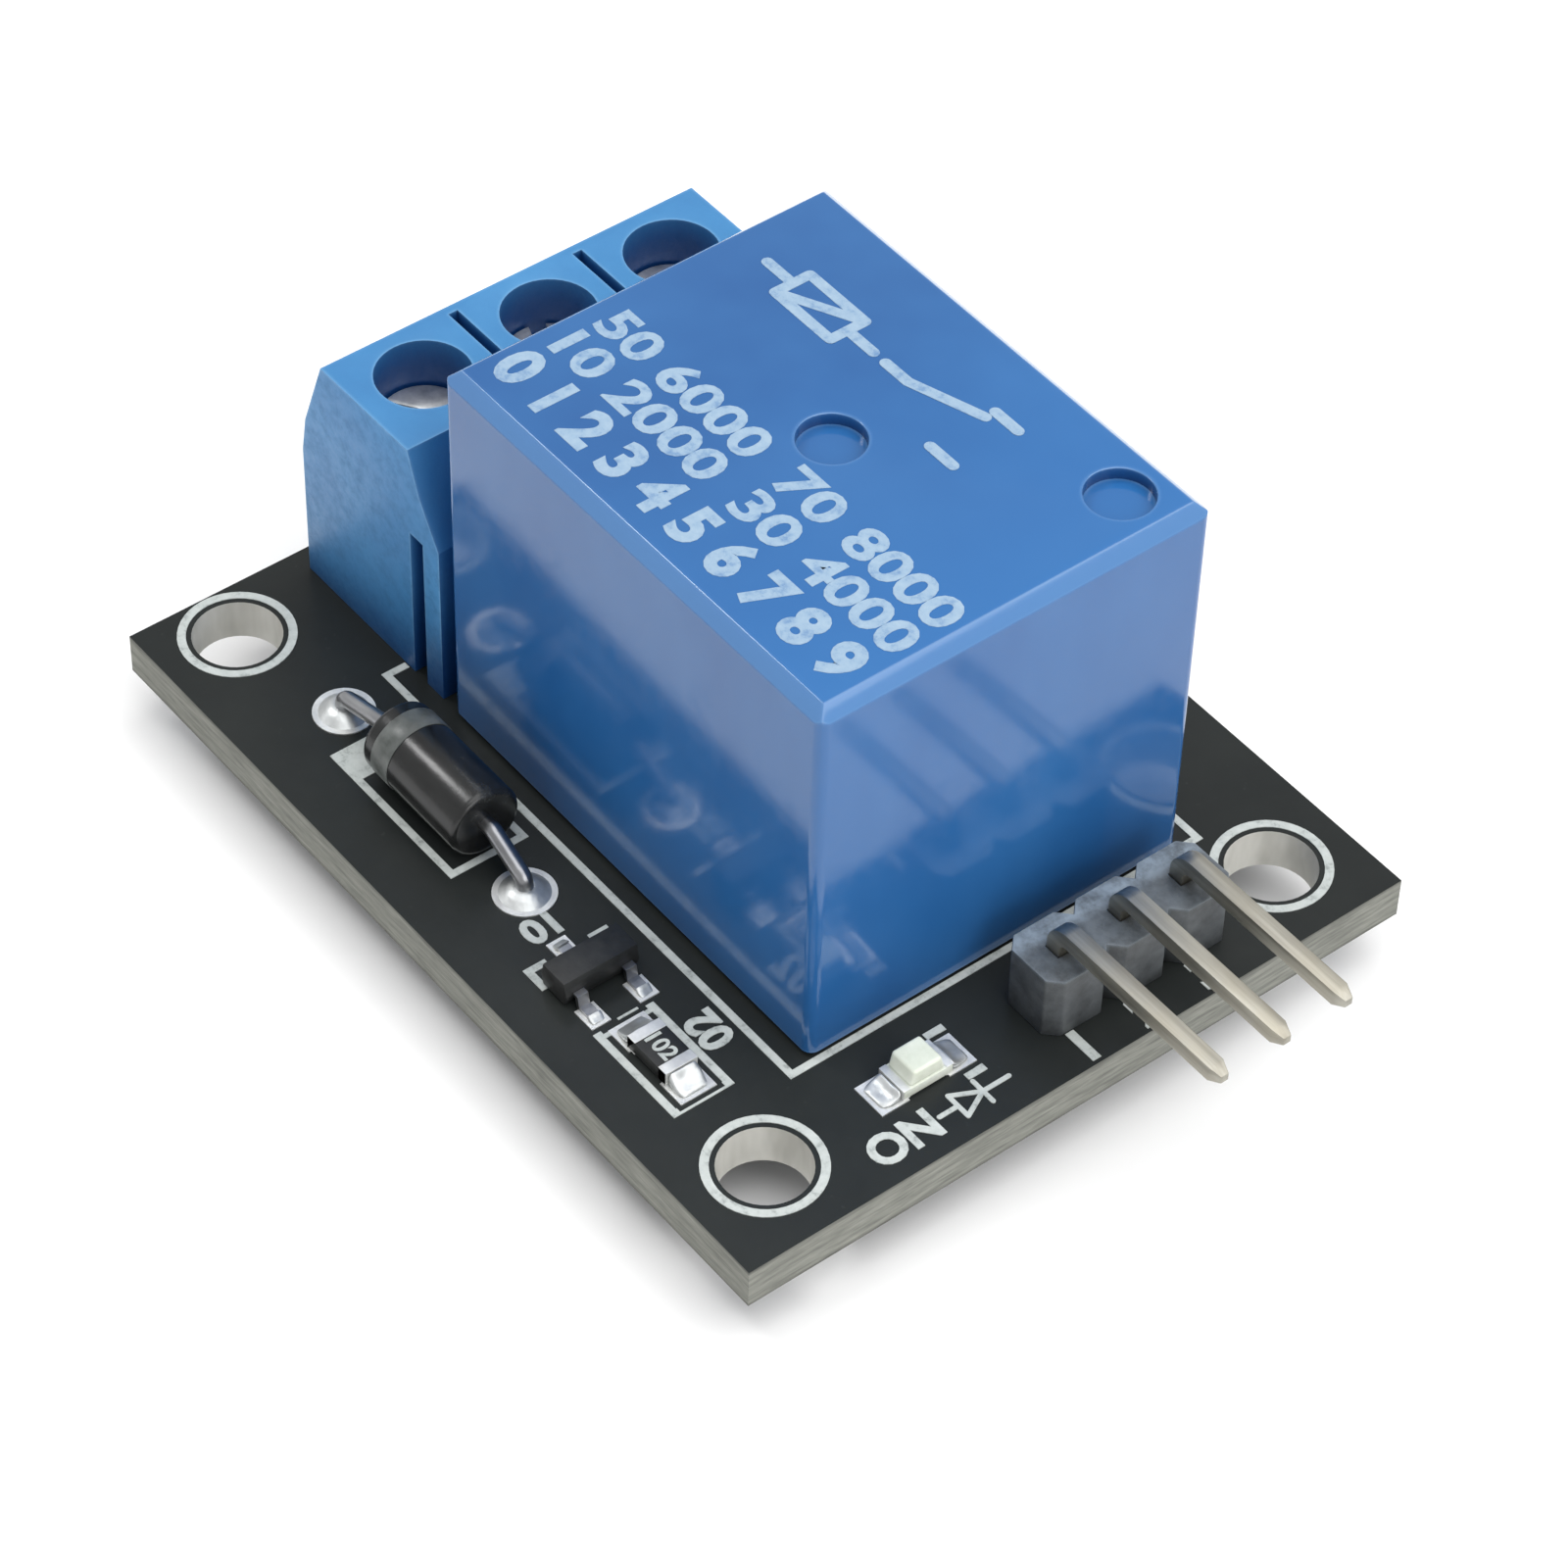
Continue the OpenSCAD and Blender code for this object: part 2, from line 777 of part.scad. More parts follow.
// solder on the top side: a collar on each diode pad and a wedge at each surface joint
module solder_top() {
    color([0.86, 0.87, 0.88])
        on_board() {
            difference() {
                for (p = diode_holes)
                    translate([p[0], p[1], copper_t])
                        rotate_extrude($fn = small)
                            polygon([[0, 0],
                                     [diode_pad_d / 2 - solder_rim, 0],
                                     [diode_lead_d / 2 + collar_skin, collar_h],
                                     [0, collar_h]]);
                for (p = diode_holes)
                    translate([p[0], p[1], -over])
                        cylinder(h = 2, d = lead_end_d, $fn = small);
            }
            for (s = [-1, 1])
                translate([res_x + s * res_l / 2, res_y, copper_t])
                    wedge(s, fillet_l, res_t, res_w - 2 * fillet_in);
            for (s = [-1, 1])
                translate([led_x, led_y + s * led_l / 2, copper_t])
                    rotate(90)
                        wedge(s, fillet_l, led_base_t, led_w - 2 * fillet_in);
            for (q = tran_feet())
                translate([q[0] + q[2] * tran_toe, q[1], copper_t])
                    wedge(q[2], foot_fillet[0], foot_fillet[1], lead_w + 2 * fillet_in);
        }
}

// solder wedge rising to h against a face at x = 0, running out to s * l
module wedge(s, l, h, w) {
    standing(w)
        polygon([[0, 0], [s * l, 0], [s * l / 3, h / 2], [0, h]]);
}

// ---------------------------------------------------------------- relay

// outer form of the cover: bevelled round the top, round at the upright edges
module cover_form() {
    intersection() {
        translate([0, 0, cover_z0])
            linear_extrude(relay_h)
                soft_rect([0, -relay_w / 2], [relay_l, relay_w / 2], cover_edge_r);
        standing(relay_w + over)
            polygon([[-over, 0], [relay_l + over, 0],
                     [relay_l + over, cover_top - cover_bevel - over],
                     [relay_l - cover_bevel, cover_top],
                     [cover_bevel, cover_top],
                     [-over, cover_top - cover_bevel - over]]);
        rotate([90, 0, 90])
            linear_extrude(relay_l)
                polygon([[-relay_w / 2 - over, 0], [relay_w / 2 + over, 0],
                         [relay_w / 2 + over, cover_top - cover_bevel - over],
                         [relay_w / 2 - cover_bevel, cover_top],
                         [-relay_w / 2 + cover_bevel, cover_top],
                         [-relay_w / 2 - over, cover_top - cover_bevel - over]]);
    }
}

module relay_cover() {
    color([0.10, 0.28, 0.60])
        in_relay()
            difference() {
                cover_form();
                span([cover_wall, cover_wall - relay_w / 2, cover_z0 - over],
                     [relay_l - cover_wall, relay_w / 2 - cover_wall, cover_top - cover_wall]);
                for (p = recess_at)
                    translate([p[0], p[1], cover_top - recess_depth])
                        cylinder(h = over, d = recess_d, $fn = mid);
            }
}

// plain print on the cover, clear of the recesses: a diagram and rows of bars
module relay_print() {
    color([0.85, 0.90, 0.95])
        in_relay()
            translate([0, 0, cover_top])
                linear_extrude(print_t)
                    difference() {
                        union() {
                            coil_sign();
                            contact_sign();
                            text_bars();
                        }
                        for (p = recess_at)
                            translate(p)
                                circle(d = recess_d + 2 * ring_gap, $fn = mid);
                    }
}

// coil as a box with a stroke across it and a lead at each end
module coil_sign() {
    translate([coil_sign_x, sign_y]) {
        difference() {
            translate([0, -coil_sign_w / 2])
                square([coil_sign_l, coil_sign_w]);
            translate([sign_w, sign_w - coil_sign_w / 2])
                square([coil_sign_l - 2 * sign_w, coil_sign_w - 2 * sign_w]);
        }
        track([sign_w, sign_w - coil_sign_w / 2],
              [coil_sign_l - sign_w, coil_sign_w / 2 - sign_w], sign_w);
        track([-sign_lead, 0], [0, 0], sign_w);
        track([coil_sign_l, 0], [coil_sign_l + sign_lead, 0], sign_w);
    }
}

// changeover contact: a lever from the common lead and a lead each side of its tip
module contact_sign() {
    translate([lever_sign_x, sign_y]) {
        track([-sign_lead, 0], [0, 0], sign_w);
        track([0, 0], [lever_sign_l, lever_step - sign_w], sign_w);
        for (s = [-1, 1])
            track([lever_sign_l, s * lever_step],
                  [lever_sign_l + sign_lead, s * lever_step], sign_w);
    }
}

// rows of bars in place of words, the row nearest the edge the boldest
module text_bars() {
    bar_row(bold_row_y, bold_row_h, sign_x, bold_bars);
    for (y = fine_rows_y)
        bar_row(y, fine_row_h, sign_x, fine_bars);
}

// one row: bars of the given lengths from x on, bar_gap apart
module bar_row(y, h, x, lengths) {
    translate([x, y])
        square([lengths[0], h]);
    if (len(lengths) > 1)
        bar_row(y, h, x + lengths[0] + bar_gap, [for (i = [1:len(lengths) - 1]) lengths[i]]);
}

module relay_base() {
    color([0.09, 0.10, 0.12])
        in_relay()
            difference() {
                union() {
                    span([cover_wall, cover_wall - relay_w / 2, cover_z0],
                         [relay_l - cover_wall, relay_w / 2 - cover_wall, base_top]);
                    for (x = [foot_in[0], relay_l - foot_in[0]], s = [-1, 1])
                        translate([x, s * (relay_w / 2 - foot_in[1]), 0])
                            cylinder(h = cover_z0 + base_t / 2, d = foot_d, $fn = small);
                }
                slot_at([com_pin_x, 0], [flat_pin_t, flat_pin_w]);
                for (s = [-1, 1]) {
                    slot_at([coil_pin_x, s * side_pin_y], [coil_pin_s, coil_pin_s]);
                    slot_at([contact_pin_x, s * side_pin_y], [flat_pin_t, flat_pin_w]);
                }
            }
}

// slot for a pin, with drop-in play all round
module slot_at(p, size) {
    translate([p[0], p[1], 0])
        cube([size[0] + 2 * drop_fit, size[1] + 2 * drop_fit,
              2 * cover_top], center = true);
}

module relay_bobbin() {
    ear_y = side_pin_y + coil_pin_s / 2 + ear_wall;
    color([0.85, 0.84, 0.78])
        in_relay()
            difference() {
                union() {
                    for (z = [bobbin_z, head_z - flange_t])
                        translate([coil_x - flange_l / 2, -flange_w / 2, z])
                            cube([flange_l, flange_w, flange_t]);
                    span([yoke_x + iron_t + coil_gap, -ear_y, bobbin_z],
                         [coil_pin_x + ear_wall + coil_pin_s, ear_y, bobbin_z + flange_t]);
                    translate([coil_x, 0, bobbin_z])
                        cylinder(h = bobbin_h, d = tube_d, $fn = mid);
                }
                translate([coil_x, 0, bobbin_z - over])
                    cylinder(h = bobbin_h + 2 * over, d = core_d + 2 * run_fit, $fn = mid);
                for (s = [-1, 1])
                    slot_at([coil_pin_x, s * side_pin_y], [coil_pin_s, coil_pin_s]);
            }
}

module relay_coil() {
    color([0.72, 0.36, 0.16])
        in_relay()
            translate([coil_x, 0, bobbin_z + flange_t])
                difference() {
                    cylinder(h = bobbin_h - 2 * flange_t, d = coil_d, $fn = fine);
                    translate([0, 0, -over])
                        cylinder(h = bobbin_h, d = tube_d, $fn = mid);
                }
}

module relay_core() {
    color([0.62, 0.63, 0.64])
        in_relay()
            translate([coil_x, 0, 0])
                rotate_extrude($fn = mid)
                    polygon([[0, base_top],
                             [tenon_d / 2, base_top],
                             [tenon_d / 2, bobbin_z],
                             [core_d / 2, bobbin_z],
                             [core_d / 2, head_z],
                             [core_head_d / 2, head_z],
                             [core_head_d / 2, head_z + core_head_t],
                             [0, head_z + core_head_t]]);
}

module relay_yoke() {
    color([0.55, 0.56, 0.58])
        in_relay()
            difference() {
                standing(iron_w)
                    polygon([[yoke_x, base_top], [coil_x + yoke_foot, base_top],
                             [coil_x + yoke_foot, bobbin_z], [yoke_x + iron_t, bobbin_z],
                             [yoke_x + iron_t, pivot_z], [yoke_x, pivot_z]]);
                translate([coil_x, 0, 0])
                    cylinder(h = bobbin_z + over, d = tenon_d, $fn = mid);
            }
}

module relay_armature() {
    color([0.60, 0.61, 0.63])
        on_pivot(arm_open)
            difference() {
                span([arm_heel, -iron_w / 2, rub], [arm_end, iron_w / 2, arm_top]);
                for (x = rivet_xs)
                    translate([x, 0, 0])
                        cylinder(h = 2 * arm_top, d = rivet_d, $fn = small);
            }
}

module armature_rivets() {
    color([0.75, 0.72, 0.60])
        on_pivot(arm_open)
            for (x = rivet_xs)
                translate([x, 0, 0]) {
                    translate([0, 0, rub + rivet_foot])
                        cylinder(h = leaf_top - rub, d = rivet_d, $fn = small);
                    translate([0, 0, leaf_top])
                        cylinder(h = rivet_head_t, d = rivet_head_d, $fn = small);
                }
}

// one strip: tail on the yoke's back, bend at the pivot, blade over the armature
module leaf_spring() {
    color([0.80, 0.58, 0.32]) {
        in_relay()
            span([yoke_x - leaf_t, -leaf_w / 2, pivot_z - leaf_tail_l],
                 [yoke_x, leaf_w / 2, pivot_z + arm_heel]);
        on_pivot(arm_open)
            difference() {
                union() {
                    span([-leaf_t, -leaf_w / 2, 0], [0, leaf_w / 2, leaf_top]);
                    span([-leaf_t, -leaf_w / 2, arm_top],
                         [arm_end - leaf_end_gap, leaf_w / 2, leaf_top]);
                    span([arm_end - rivet_out, -leaf_tip_w / 2, arm_top],
                         [contact_at + contact_d / 2 + leaf_tip_over, leaf_tip_w / 2, leaf_top]);
                }
                for (x = rivet_xs)
                    translate([x, 0, 0])
                        cylinder(h = 2 * arm_top, d = rivet_d, $fn = small);
                translate([contact_at, 0, 0])
                    cylinder(h = 2 * arm_top, d = contact_neck_d, $fn = small);
            }
    }
}

module moving_contact() {
    color([0.86, 0.86, 0.84])
        on_pivot(arm_open)
            translate([contact_at, 0, arm_top - contact_t]) {
                cylinder(h = contact_t, d = contact_d, $fn = mid);
                cylinder(h = 2 * contact_t + leaf_t, d = contact_neck_d, $fn = small);
                translate([0, 0, contact_t + leaf_t])
                    cylinder(h = contact_t, d = contact_d, $fn = mid);
            }
}

// two identical rivets: one under the lever, one over it
module fixed_contacts() {
    color([0.86, 0.86, 0.84]) {
        on_pivot(0)
            translate([contact_at, 0, open_face_z])
                rotate([180, 0, 0])
                    contact_rivet();
        on_pivot(arm_open)
            translate([contact_at, 0, closed_face_z])
                contact_rivet();
    }
}

module contact_rivet() {
    cylinder(h = contact_t, d = contact_d, $fn = mid);
    cylinder(h = contact_t + arm_plate_t, d = contact_neck_d, $fn = small);
}

// arm that carries a fixed contact, from the side pin to the centre line
module contact_arm(s, z) {
    y_far = side_pin_y + flat_pin_w / 2;
    difference() {
        span([contact_at - contact_arm_w / 2, s > 0 ? -contact_arm_over : -y_far, z],
             [contact_at + contact_arm_w / 2, s > 0 ? y_far : contact_arm_over,
              z + arm_plate_t]);
        translate([contact_at, 0, z - over])
            cylinder(h = arm_plate_t + 2 * over, d = contact_neck_d, $fn = small);
    }
}

// upright part of a side pin, from its trimmed end to height top above the board
module side_blade(s, top) {
    in_relay()
        span([contact_pin_x - flat_pin_t / 2, s * side_pin_y - flat_pin_w / 2, -below],
             [contact_pin_x + flat_pin_t / 2, s * side_pin_y + flat_pin_w / 2, top]);
}

module open_terminal() {
    color([0.76, 0.70, 0.55]) {
        side_blade(1, pivot_z + open_face_z - contact_t);
        on_pivot(0)
            contact_arm(1, open_face_z - contact_t - arm_plate_t);
    }
}

module closed_terminal() {
    lift = contact_at * sin(arm_open);
    color([0.76, 0.70, 0.55]) {
        side_blade(-1, pivot_z + lift + closed_face_z + contact_t + arm_plate_t / 2);
        on_pivot(arm_open)
            contact_arm(-1, closed_face_z + contact_t);
    }
}

module common_terminal() {
    color([0.76, 0.70, 0.55])
        in_relay() {
            span([com_pin_x - flat_pin_t / 2, -flat_pin_w / 2, -below],
                 [com_pin_x + flat_pin_t / 2, flat_pin_w / 2, base_top + com_neck_h]);
            span([com_pin_x - flat_pin_t / 2, -com_blade_w / 2, base_top],
                 [com_pin_x + flat_pin_t / 2, com_blade_w / 2, base_top + com_blade_top]);
        }
}

module coil_pins() {
    color([0.76, 0.76, 0.74])
        in_relay()
            for (s = [-1, 1])
                translate([coil_pin_x - coil_pin_s / 2, s * side_pin_y - coil_pin_s / 2, -below])
                    cube([coil_pin_s, coil_pin_s, below + bobbin_z + flange_t + coil_pin_top]);
}

// ---------------------------------------------------------------- screw terminal

module terminal_profile() {
    polygon([[0, 0], [0, term_h - front_drop], [front_knee[0], term_h - front_knee[1]],
             [top_front, term_h], [term_d - top_back, term_h],
             [term_d - back_knee[0], term_h - back_knee[1]],
             [term_d, term_h - back_drop], [term_d, 0]]);
}

module terminal_housing() {
    color([0.18, 0.42, 0.72]) {
        difference() {
            translate([term_x0, term_y, board_t])
                standing(term_l)
                    terminal_profile();
            for (i = [0, 1, 2])
                in_terminal(i)
                    pole_cavity();
            for (s = [-0.5, 0.5])
                translate([term_x0 + top_front + gap_slot_w, term_y + s * pole_pitch
                           - gap_slot_w / 2, board_t + term_h - gap_slot_depth])
                    cube([term_d - top_front - top_back - 2 * gap_slot_w, gap_slot_w,
                          gap_slot_depth + over]);
            // locking groove in the near end
            translate([term_x0 + lock_x, term_y - term_l / 2 - over, board_t - over])
                cube([lock_w, over + lock_w, lock_h + over]);
        }
        // locking rib on the far end
        translate([term_x0 + lock_x + drop_fit, term_y + term_l / 2 - over, board_t])
            cube([lock_w - 2 * drop_fit, over + lock_w - drop_fit, lock_h - drop_fit]);
    }
}

// hollow for one pole: screw well, clamp space open below, wire entry
module pole_cavity() {
    clamp_space_w = clamp_w + 2 * drop_fit;
    translate([screw_x, 0, cavity_top - over])
        cylinder(h = term_h, d = well_d, $fn = mid);
    span([clamp_x0 - drop_fit, -clamp_space_w / 2, -over],
         [clamp_x1 + drop_fit, clamp_space_w / 2, cavity_top]);
    span([-over, -entry_w / 2, wire_z], [clamp_x0, entry_w / 2, guard_z]);
    span([-over, -entry_w / 2 - flare, wire_z - flare],
         [flare_l, entry_w / 2 + flare, guard_z + flare]);
}

// bent strip: floor under the wire, back wall, threaded plate and board pin
module terminal_clamp(i) {
    color([0.80, 0.78, 0.70])
        in_terminal(i) {
            difference() {
                standing(clamp_w)
                    polygon([[clamp_x0, clamp_z], [clamp_x1, clamp_z],
                             [clamp_x1, cavity_top], [clamp_x0 + nut_in, cavity_top],
                             [clamp_x0 + nut_in, nut_z], [clamp_x1 - clamp_t, nut_z],
                             [clamp_x1 - clamp_t, wire_z], [clamp_x0, wire_z]]);
                translate([screw_x, 0, nut_z - clamp_t / 2])
                    cylinder(h = nut_t + clamp_t, d = screw_d + 2 * run_fit, $fn = mid);
            }
            translate([screw_x - clamp_pin[0] / 2, -clamp_pin[1] / 2, -below])
                cube([clamp_pin[0], clamp_pin[1], below + wire_z]);
        }
}

module terminal_screw(i) {
    color([0.78, 0.79, 0.80])
        in_terminal(i)
            translate([screw_x, 0, 0])
                difference() {
                    union() {
                        translate([0, 0, guard_z + guard_t])
                            cylinder(h = head_z0 - guard_z - guard_t + head_t / 2, d = screw_d,
                                     $fn = mid);
                        translate([0, 0, head_z0])
                            cylinder(h = head_t, d = head_d, $fn = mid);
                    }
                    rotate(screw_set[i])
                        translate([-head_d, -driver_slot_w / 2,
                                   head_z0 + head_t - driver_slot_depth])
                            cube([2 * head_d, driver_slot_w, over + driver_slot_depth]);
                }
}

// plate under the screw tip, with a lip in front of the threaded plate
module wire_guard(i) {
    guard_w = entry_w - 2 * guard_play;
    lip_x = clamp_x0 + guard_in;
    color([0.82, 0.82, 0.80])
        in_terminal(i) {
            span([lip_x, -guard_w / 2, guard_z],
                 [clamp_x1 - clamp_t - guard_back, guard_w / 2, guard_z + guard_t]);
            span([lip_x, -guard_w / 2, guard_z],
                 [lip_x + guard_t, guard_w / 2, guard_z + guard_t + guard_lip_h]);
        }
}

// ---------------------------------------------------------------- header

module header_cell() {
    h = insul / 2;
    polygon([[-h, -pin_pitch / 2 + notch], [-h + notch, -pin_pitch / 2],
             [h - notch, -pin_pitch / 2], [h, -pin_pitch / 2 + notch],
             [h, pin_pitch / 2 - notch], [h - notch, pin_pitch / 2],
             [-h + notch, pin_pitch / 2], [-h, pin_pitch / 2 - notch]]);
}

module header_body() {
    color([0.16, 0.17, 0.18])
        difference() {
            translate([header_x, header_y, board_t])
                linear_extrude(insul)
                    for (y = header_ys)
                        translate([0, y])
                            header_cell();
            for (y = header_ys)
                translate([header_x, header_y + y, 0])
                    cube([pin_w, pin_w, 2 * insul + 2 * board_t], center = true);
        }
}

// square pin: up through the insulator, bent level, tapered at the tip
module header_pin(i) {
    bend_r = pin_w;
    level_z = insul + pin_rise;
    tip_w = pin_w / 2;
    color([0.66, 0.64, 0.58])
        translate([header_x, header_y + header_ys[i], board_t]) {
            span([-pin_w / 2, -pin_w / 2, -below], [pin_w / 2, pin_w / 2, level_z - bend_r]);
            translate([bend_r, 0, level_z - bend_r])
                rotate([90, 0, 0])
                    rotate([0, 0, 90])
                        rotate_extrude(angle = 90, $fn = mid)
                            translate([bend_r, 0])
                                square(pin_w, center = true);
            translate([0, 0, level_z])
                intersection() {
                    standing(2 * pin_w)
                        level_outline(bend_r, tip_w);
                    linear_extrude(2 * pin_w, center = true)
                        level_outline(bend_r, tip_w);
                }
        }
}

// outline of the level part of a pin, seen from the side and from above alike
module level_outline(start, tip_w) {
    polygon([[start, -pin_w / 2], [pin_reach - pin_tip, -pin_w / 2],
             [pin_reach, -tip_w / 2], [pin_reach, tip_w / 2],
             [pin_reach - pin_tip, pin_w / 2], [start, pin_w / 2]]);
}

// ---------------------------------------------------------------- diode

module diode_body() {
    edge = 0.2;
    color([0.10, 0.10, 0.10])
        translate([diode_x - diode_l / 2, diode_y, board_t + diode_z])
            rotate([0, 90, 0])
                rotate_extrude($fn = mid)
                    polygon([[0, 0], [diode_d / 2 - edge, 0], [diode_d / 2, edge],
                             [diode_d / 2, diode_l - edge], [diode_d / 2 - edge, diode_l],
                             [0, diode_l]]);
}

module diode_band() {
    color([0.72, 0.73, 0.72])
        translate([diode_x - diode_l / 2 + band_in, diode_y, board_t + diode_z])
            rotate([0, 90, 0])
                difference() {
                    cylinder(h = band_w, d = diode_d + 2 * print_t, $fn = mid);
                    translate([0, 0, -over])
                        cylinder(h = band_w + 2 * over, d = diode_d, $fn = mid);
                }
}

// one lead, starting at the body's end and heading along +X: a short level stub,
// a sloping run between two bends, then straight down through the board
module diode_lead(reach) {
    drop = diode_z - copper_t - collar_h;
    run = [reach - lead_stub - lead_bend_r, drop - lead_bend_r];
    slope = atan2(run[1], run[0]);
    rotate([0, 90, 0])
        cylinder(h = lead_stub + lead_seat, d = lead_end_d, $fn = small);
    translate([lead_stub, 0, -lead_bend_r])
        rotate([0, slope, 0])
            union() {
                lead_bend(slope);
                translate([0, 0, lead_bend_r])
                    rotate([0, 90, 0])
                        cylinder(h = norm(run), d = diode_lead_d, $fn = small);
                translate([norm(run), 0, 0])
                    mirror([1, 0, 0])
                        lead_bend(90 - slope);
            }
    translate([reach, 0, -diode_z - below])
        cylinder(h = diode_z - drop + below + lead_seat, d = lead_end_d, $fn = small);
}

// a bend about the origin, from straight up and back through the angle turn
module lead_bend(turn) {
    rotate([90, 0, 0])
        rotate([0, 0, 90])
            rotate_extrude(angle = turn, $fn = mid)
                translate([lead_bend_r, 0])
                    circle(d = diode_lead_d, $fn = small);
}

module diode_leads() {
    near_reach = diode_mid + diode_span / 2 - diode_x - diode_l / 2;
    far_reach = diode_x - diode_l / 2 - diode_mid + diode_span / 2;
    color([0.78, 0.78, 0.76])
        translate([diode_x, diode_y, board_t + diode_z]) {
            translate([diode_l / 2, 0, 0])
                diode_lead(near_reach);
            rotate(180)
                translate([diode_l / 2, 0, 0])
                    diode_lead(far_reach);
        }
}

// ---------------------------------------------------------------- surface parts

// transistor feet: x, y and the way each one points
function tran_feet() = [[tran_x + tran_reach, tran_y - tran_step, 1],
                        [tran_x + tran_reach, tran_y + tran_step, 1],
                        [tran_x - tran_reach, tran_y, -1]];

module transistor_body() {
    waist = tran_t * tran_waist;
    slope = 0.09;
    color([0.12, 0.12, 0.12])
        translate([tran_x, tran_y, board_t + tran_z])
            standing(tran_l)
                polygon([[slope - tran_w / 2, 0], [tran_w / 2 - slope, 0],
                         [tran_w / 2, waist], [tran_w / 2 - slope, tran_t],
                         [slope - tran_w / 2, tran_t], [-tran_w / 2, waist]]);
}

// gull-wing lead: leaves the body at its waist, steps down and ends in a flat foot
module gull_lead(s) {
    knee = tran_w / 2;
    step = lead_t * 0.7;
    toe = tran_reach + tran_toe;
    waist = tran_z + tran_t * tran_waist;
    standing(lead_w)
        polygon([[s * knee, waist - lead_t / 2], [s * (knee + lead_t), waist - lead_t / 2],
                 [s * (knee + lead_t + step), copper_t], [s * toe, copper_t],
                 [s * toe, copper_t + lead_t],
                 [s * (knee + 2 * lead_t + step), copper_t + lead_t],
                 [s * (knee + 2 * lead_t), waist + lead_t / 2], [s * knee, waist + lead_t / 2]]);
}

module transistor_leads() {
    color([0.80, 0.80, 0.78])
        for (q = tran_feet())
            translate([tran_x, q[1], board_t])
                gull_lead(q[2]);
}

module resistor_body() {
    color([0.12, 0.12, 0.13])
        translate([res_x, res_y, board_t + copper_t + cap_t + res_t / 2])
            cube([res_l - 2 * cap_t, res_w, res_t], center = true);
}

// plated ends that wrap the chip
module resistor_terminals() {
    color([0.84, 0.84, 0.84])
        translate([res_x, res_y, board_t + copper_t])
            for (s = [-1, 1])
                standing(res_w)
                    polygon([[s * res_l / 2, 0], [s * (res_l / 2 - cap_l), 0],
                             [s * (res_l / 2 - cap_l), cap_t], [s * (res_l / 2 - cap_t), cap_t],
                             [s * (res_l / 2 - cap_t), cap_t + res_t],
                             [s * (res_l / 2 - cap_l), cap_t + res_t],
                             [s * (res_l / 2 - cap_l), 2 * cap_t + res_t],
                             [s * res_l / 2, 2 * cap_t + res_t]]);
}

module led_base() {
    color([0.86, 0.88, 0.84])
        translate([led_x, led_y, board_t + copper_t + cap_t + led_base_t / 2])
            cube([led_w, led_l - 2 * cap_t, led_base_t], center = true);
}

module led_lens() {
    foot_l = led_l - 2 * lens_in;
    top_l = foot_l - 2 * lens_slope;
    color([0.75, 0.85, 0.72])
        translate([led_x, led_y, board_t + copper_t + cap_t + led_base_t])
            rotate(90)
                standing(led_w - 2 * drop_fit)
                    polygon([[-foot_l / 2, 0], [foot_l / 2, 0],
                             [top_l / 2, lens_h], [-top_l / 2, lens_h]]);
}

module led_terminals() {
    end = led_l / 2;
    reach = led_wrap;
    color([0.84, 0.82, 0.70])
        translate([led_x, led_y, board_t + copper_t])
            rotate(90)
                for (s = [-1, 1])
                    standing(led_w)
                        polygon([[s * end, 0], [s * (end - reach), 0],
                                 [s * (end - reach), cap_t], [s * (end - cap_t), cap_t],
                                 [s * (end - cap_t), cap_t + led_base_t],
                                 [s * (end - reach), cap_t + led_base_t],
                                 [s * (end - reach), 2 * cap_t + led_base_t],
                                 [s * end, 2 * cap_t + led_base_t]]);
}

// ---------------------------------------------------------------- assembly

board();
silkscreen();
pads_top();
pads_bottom();
tracks_bottom();
solder_top();
solder_bottom();
relay_cover();
relay_print();
relay_base();
relay_bobbin();
relay_coil();
relay_core();
relay_yoke();
relay_armature();
armature_rivets();
leaf_spring();
moving_contact();
fixed_contacts();
common_terminal();
open_terminal();
closed_terminal();
coil_pins();
terminal_housing();
terminal_clamp(0);  // terminal_clamp_1
terminal_clamp(1);  // terminal_clamp_2
terminal_clamp(2);  // terminal_clamp_3
terminal_screw(0);  // terminal_screw_1
terminal_screw(1);  // terminal_screw_2
terminal_screw(2);  // terminal_screw_3
wire_guard(0);  // wire_guard_1
wire_guard(1);  // wire_guard_2
wire_guard(2);  // wire_guard_3
header_body();
header_pin(0);  // header_pin_1
header_pin(1);  // header_pin_2
header_pin(2);  // header_pin_3
diode_body();
diode_band();
diode_leads();
transistor_body();
transistor_leads();
resistor_body();
resistor_terminals();
led_base();
led_lens();
led_terminals();
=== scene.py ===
"""Looks for the relay module board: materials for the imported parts, fine print, cut
threads and uneven solder, a pale studio and the camera.

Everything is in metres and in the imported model's own frame. Small shapes and print are
given in millimetres and turned into metres with MM where their meshes are made."""

import math

import bmesh
import bpy
from mathutils import Matrix, Vector, noise


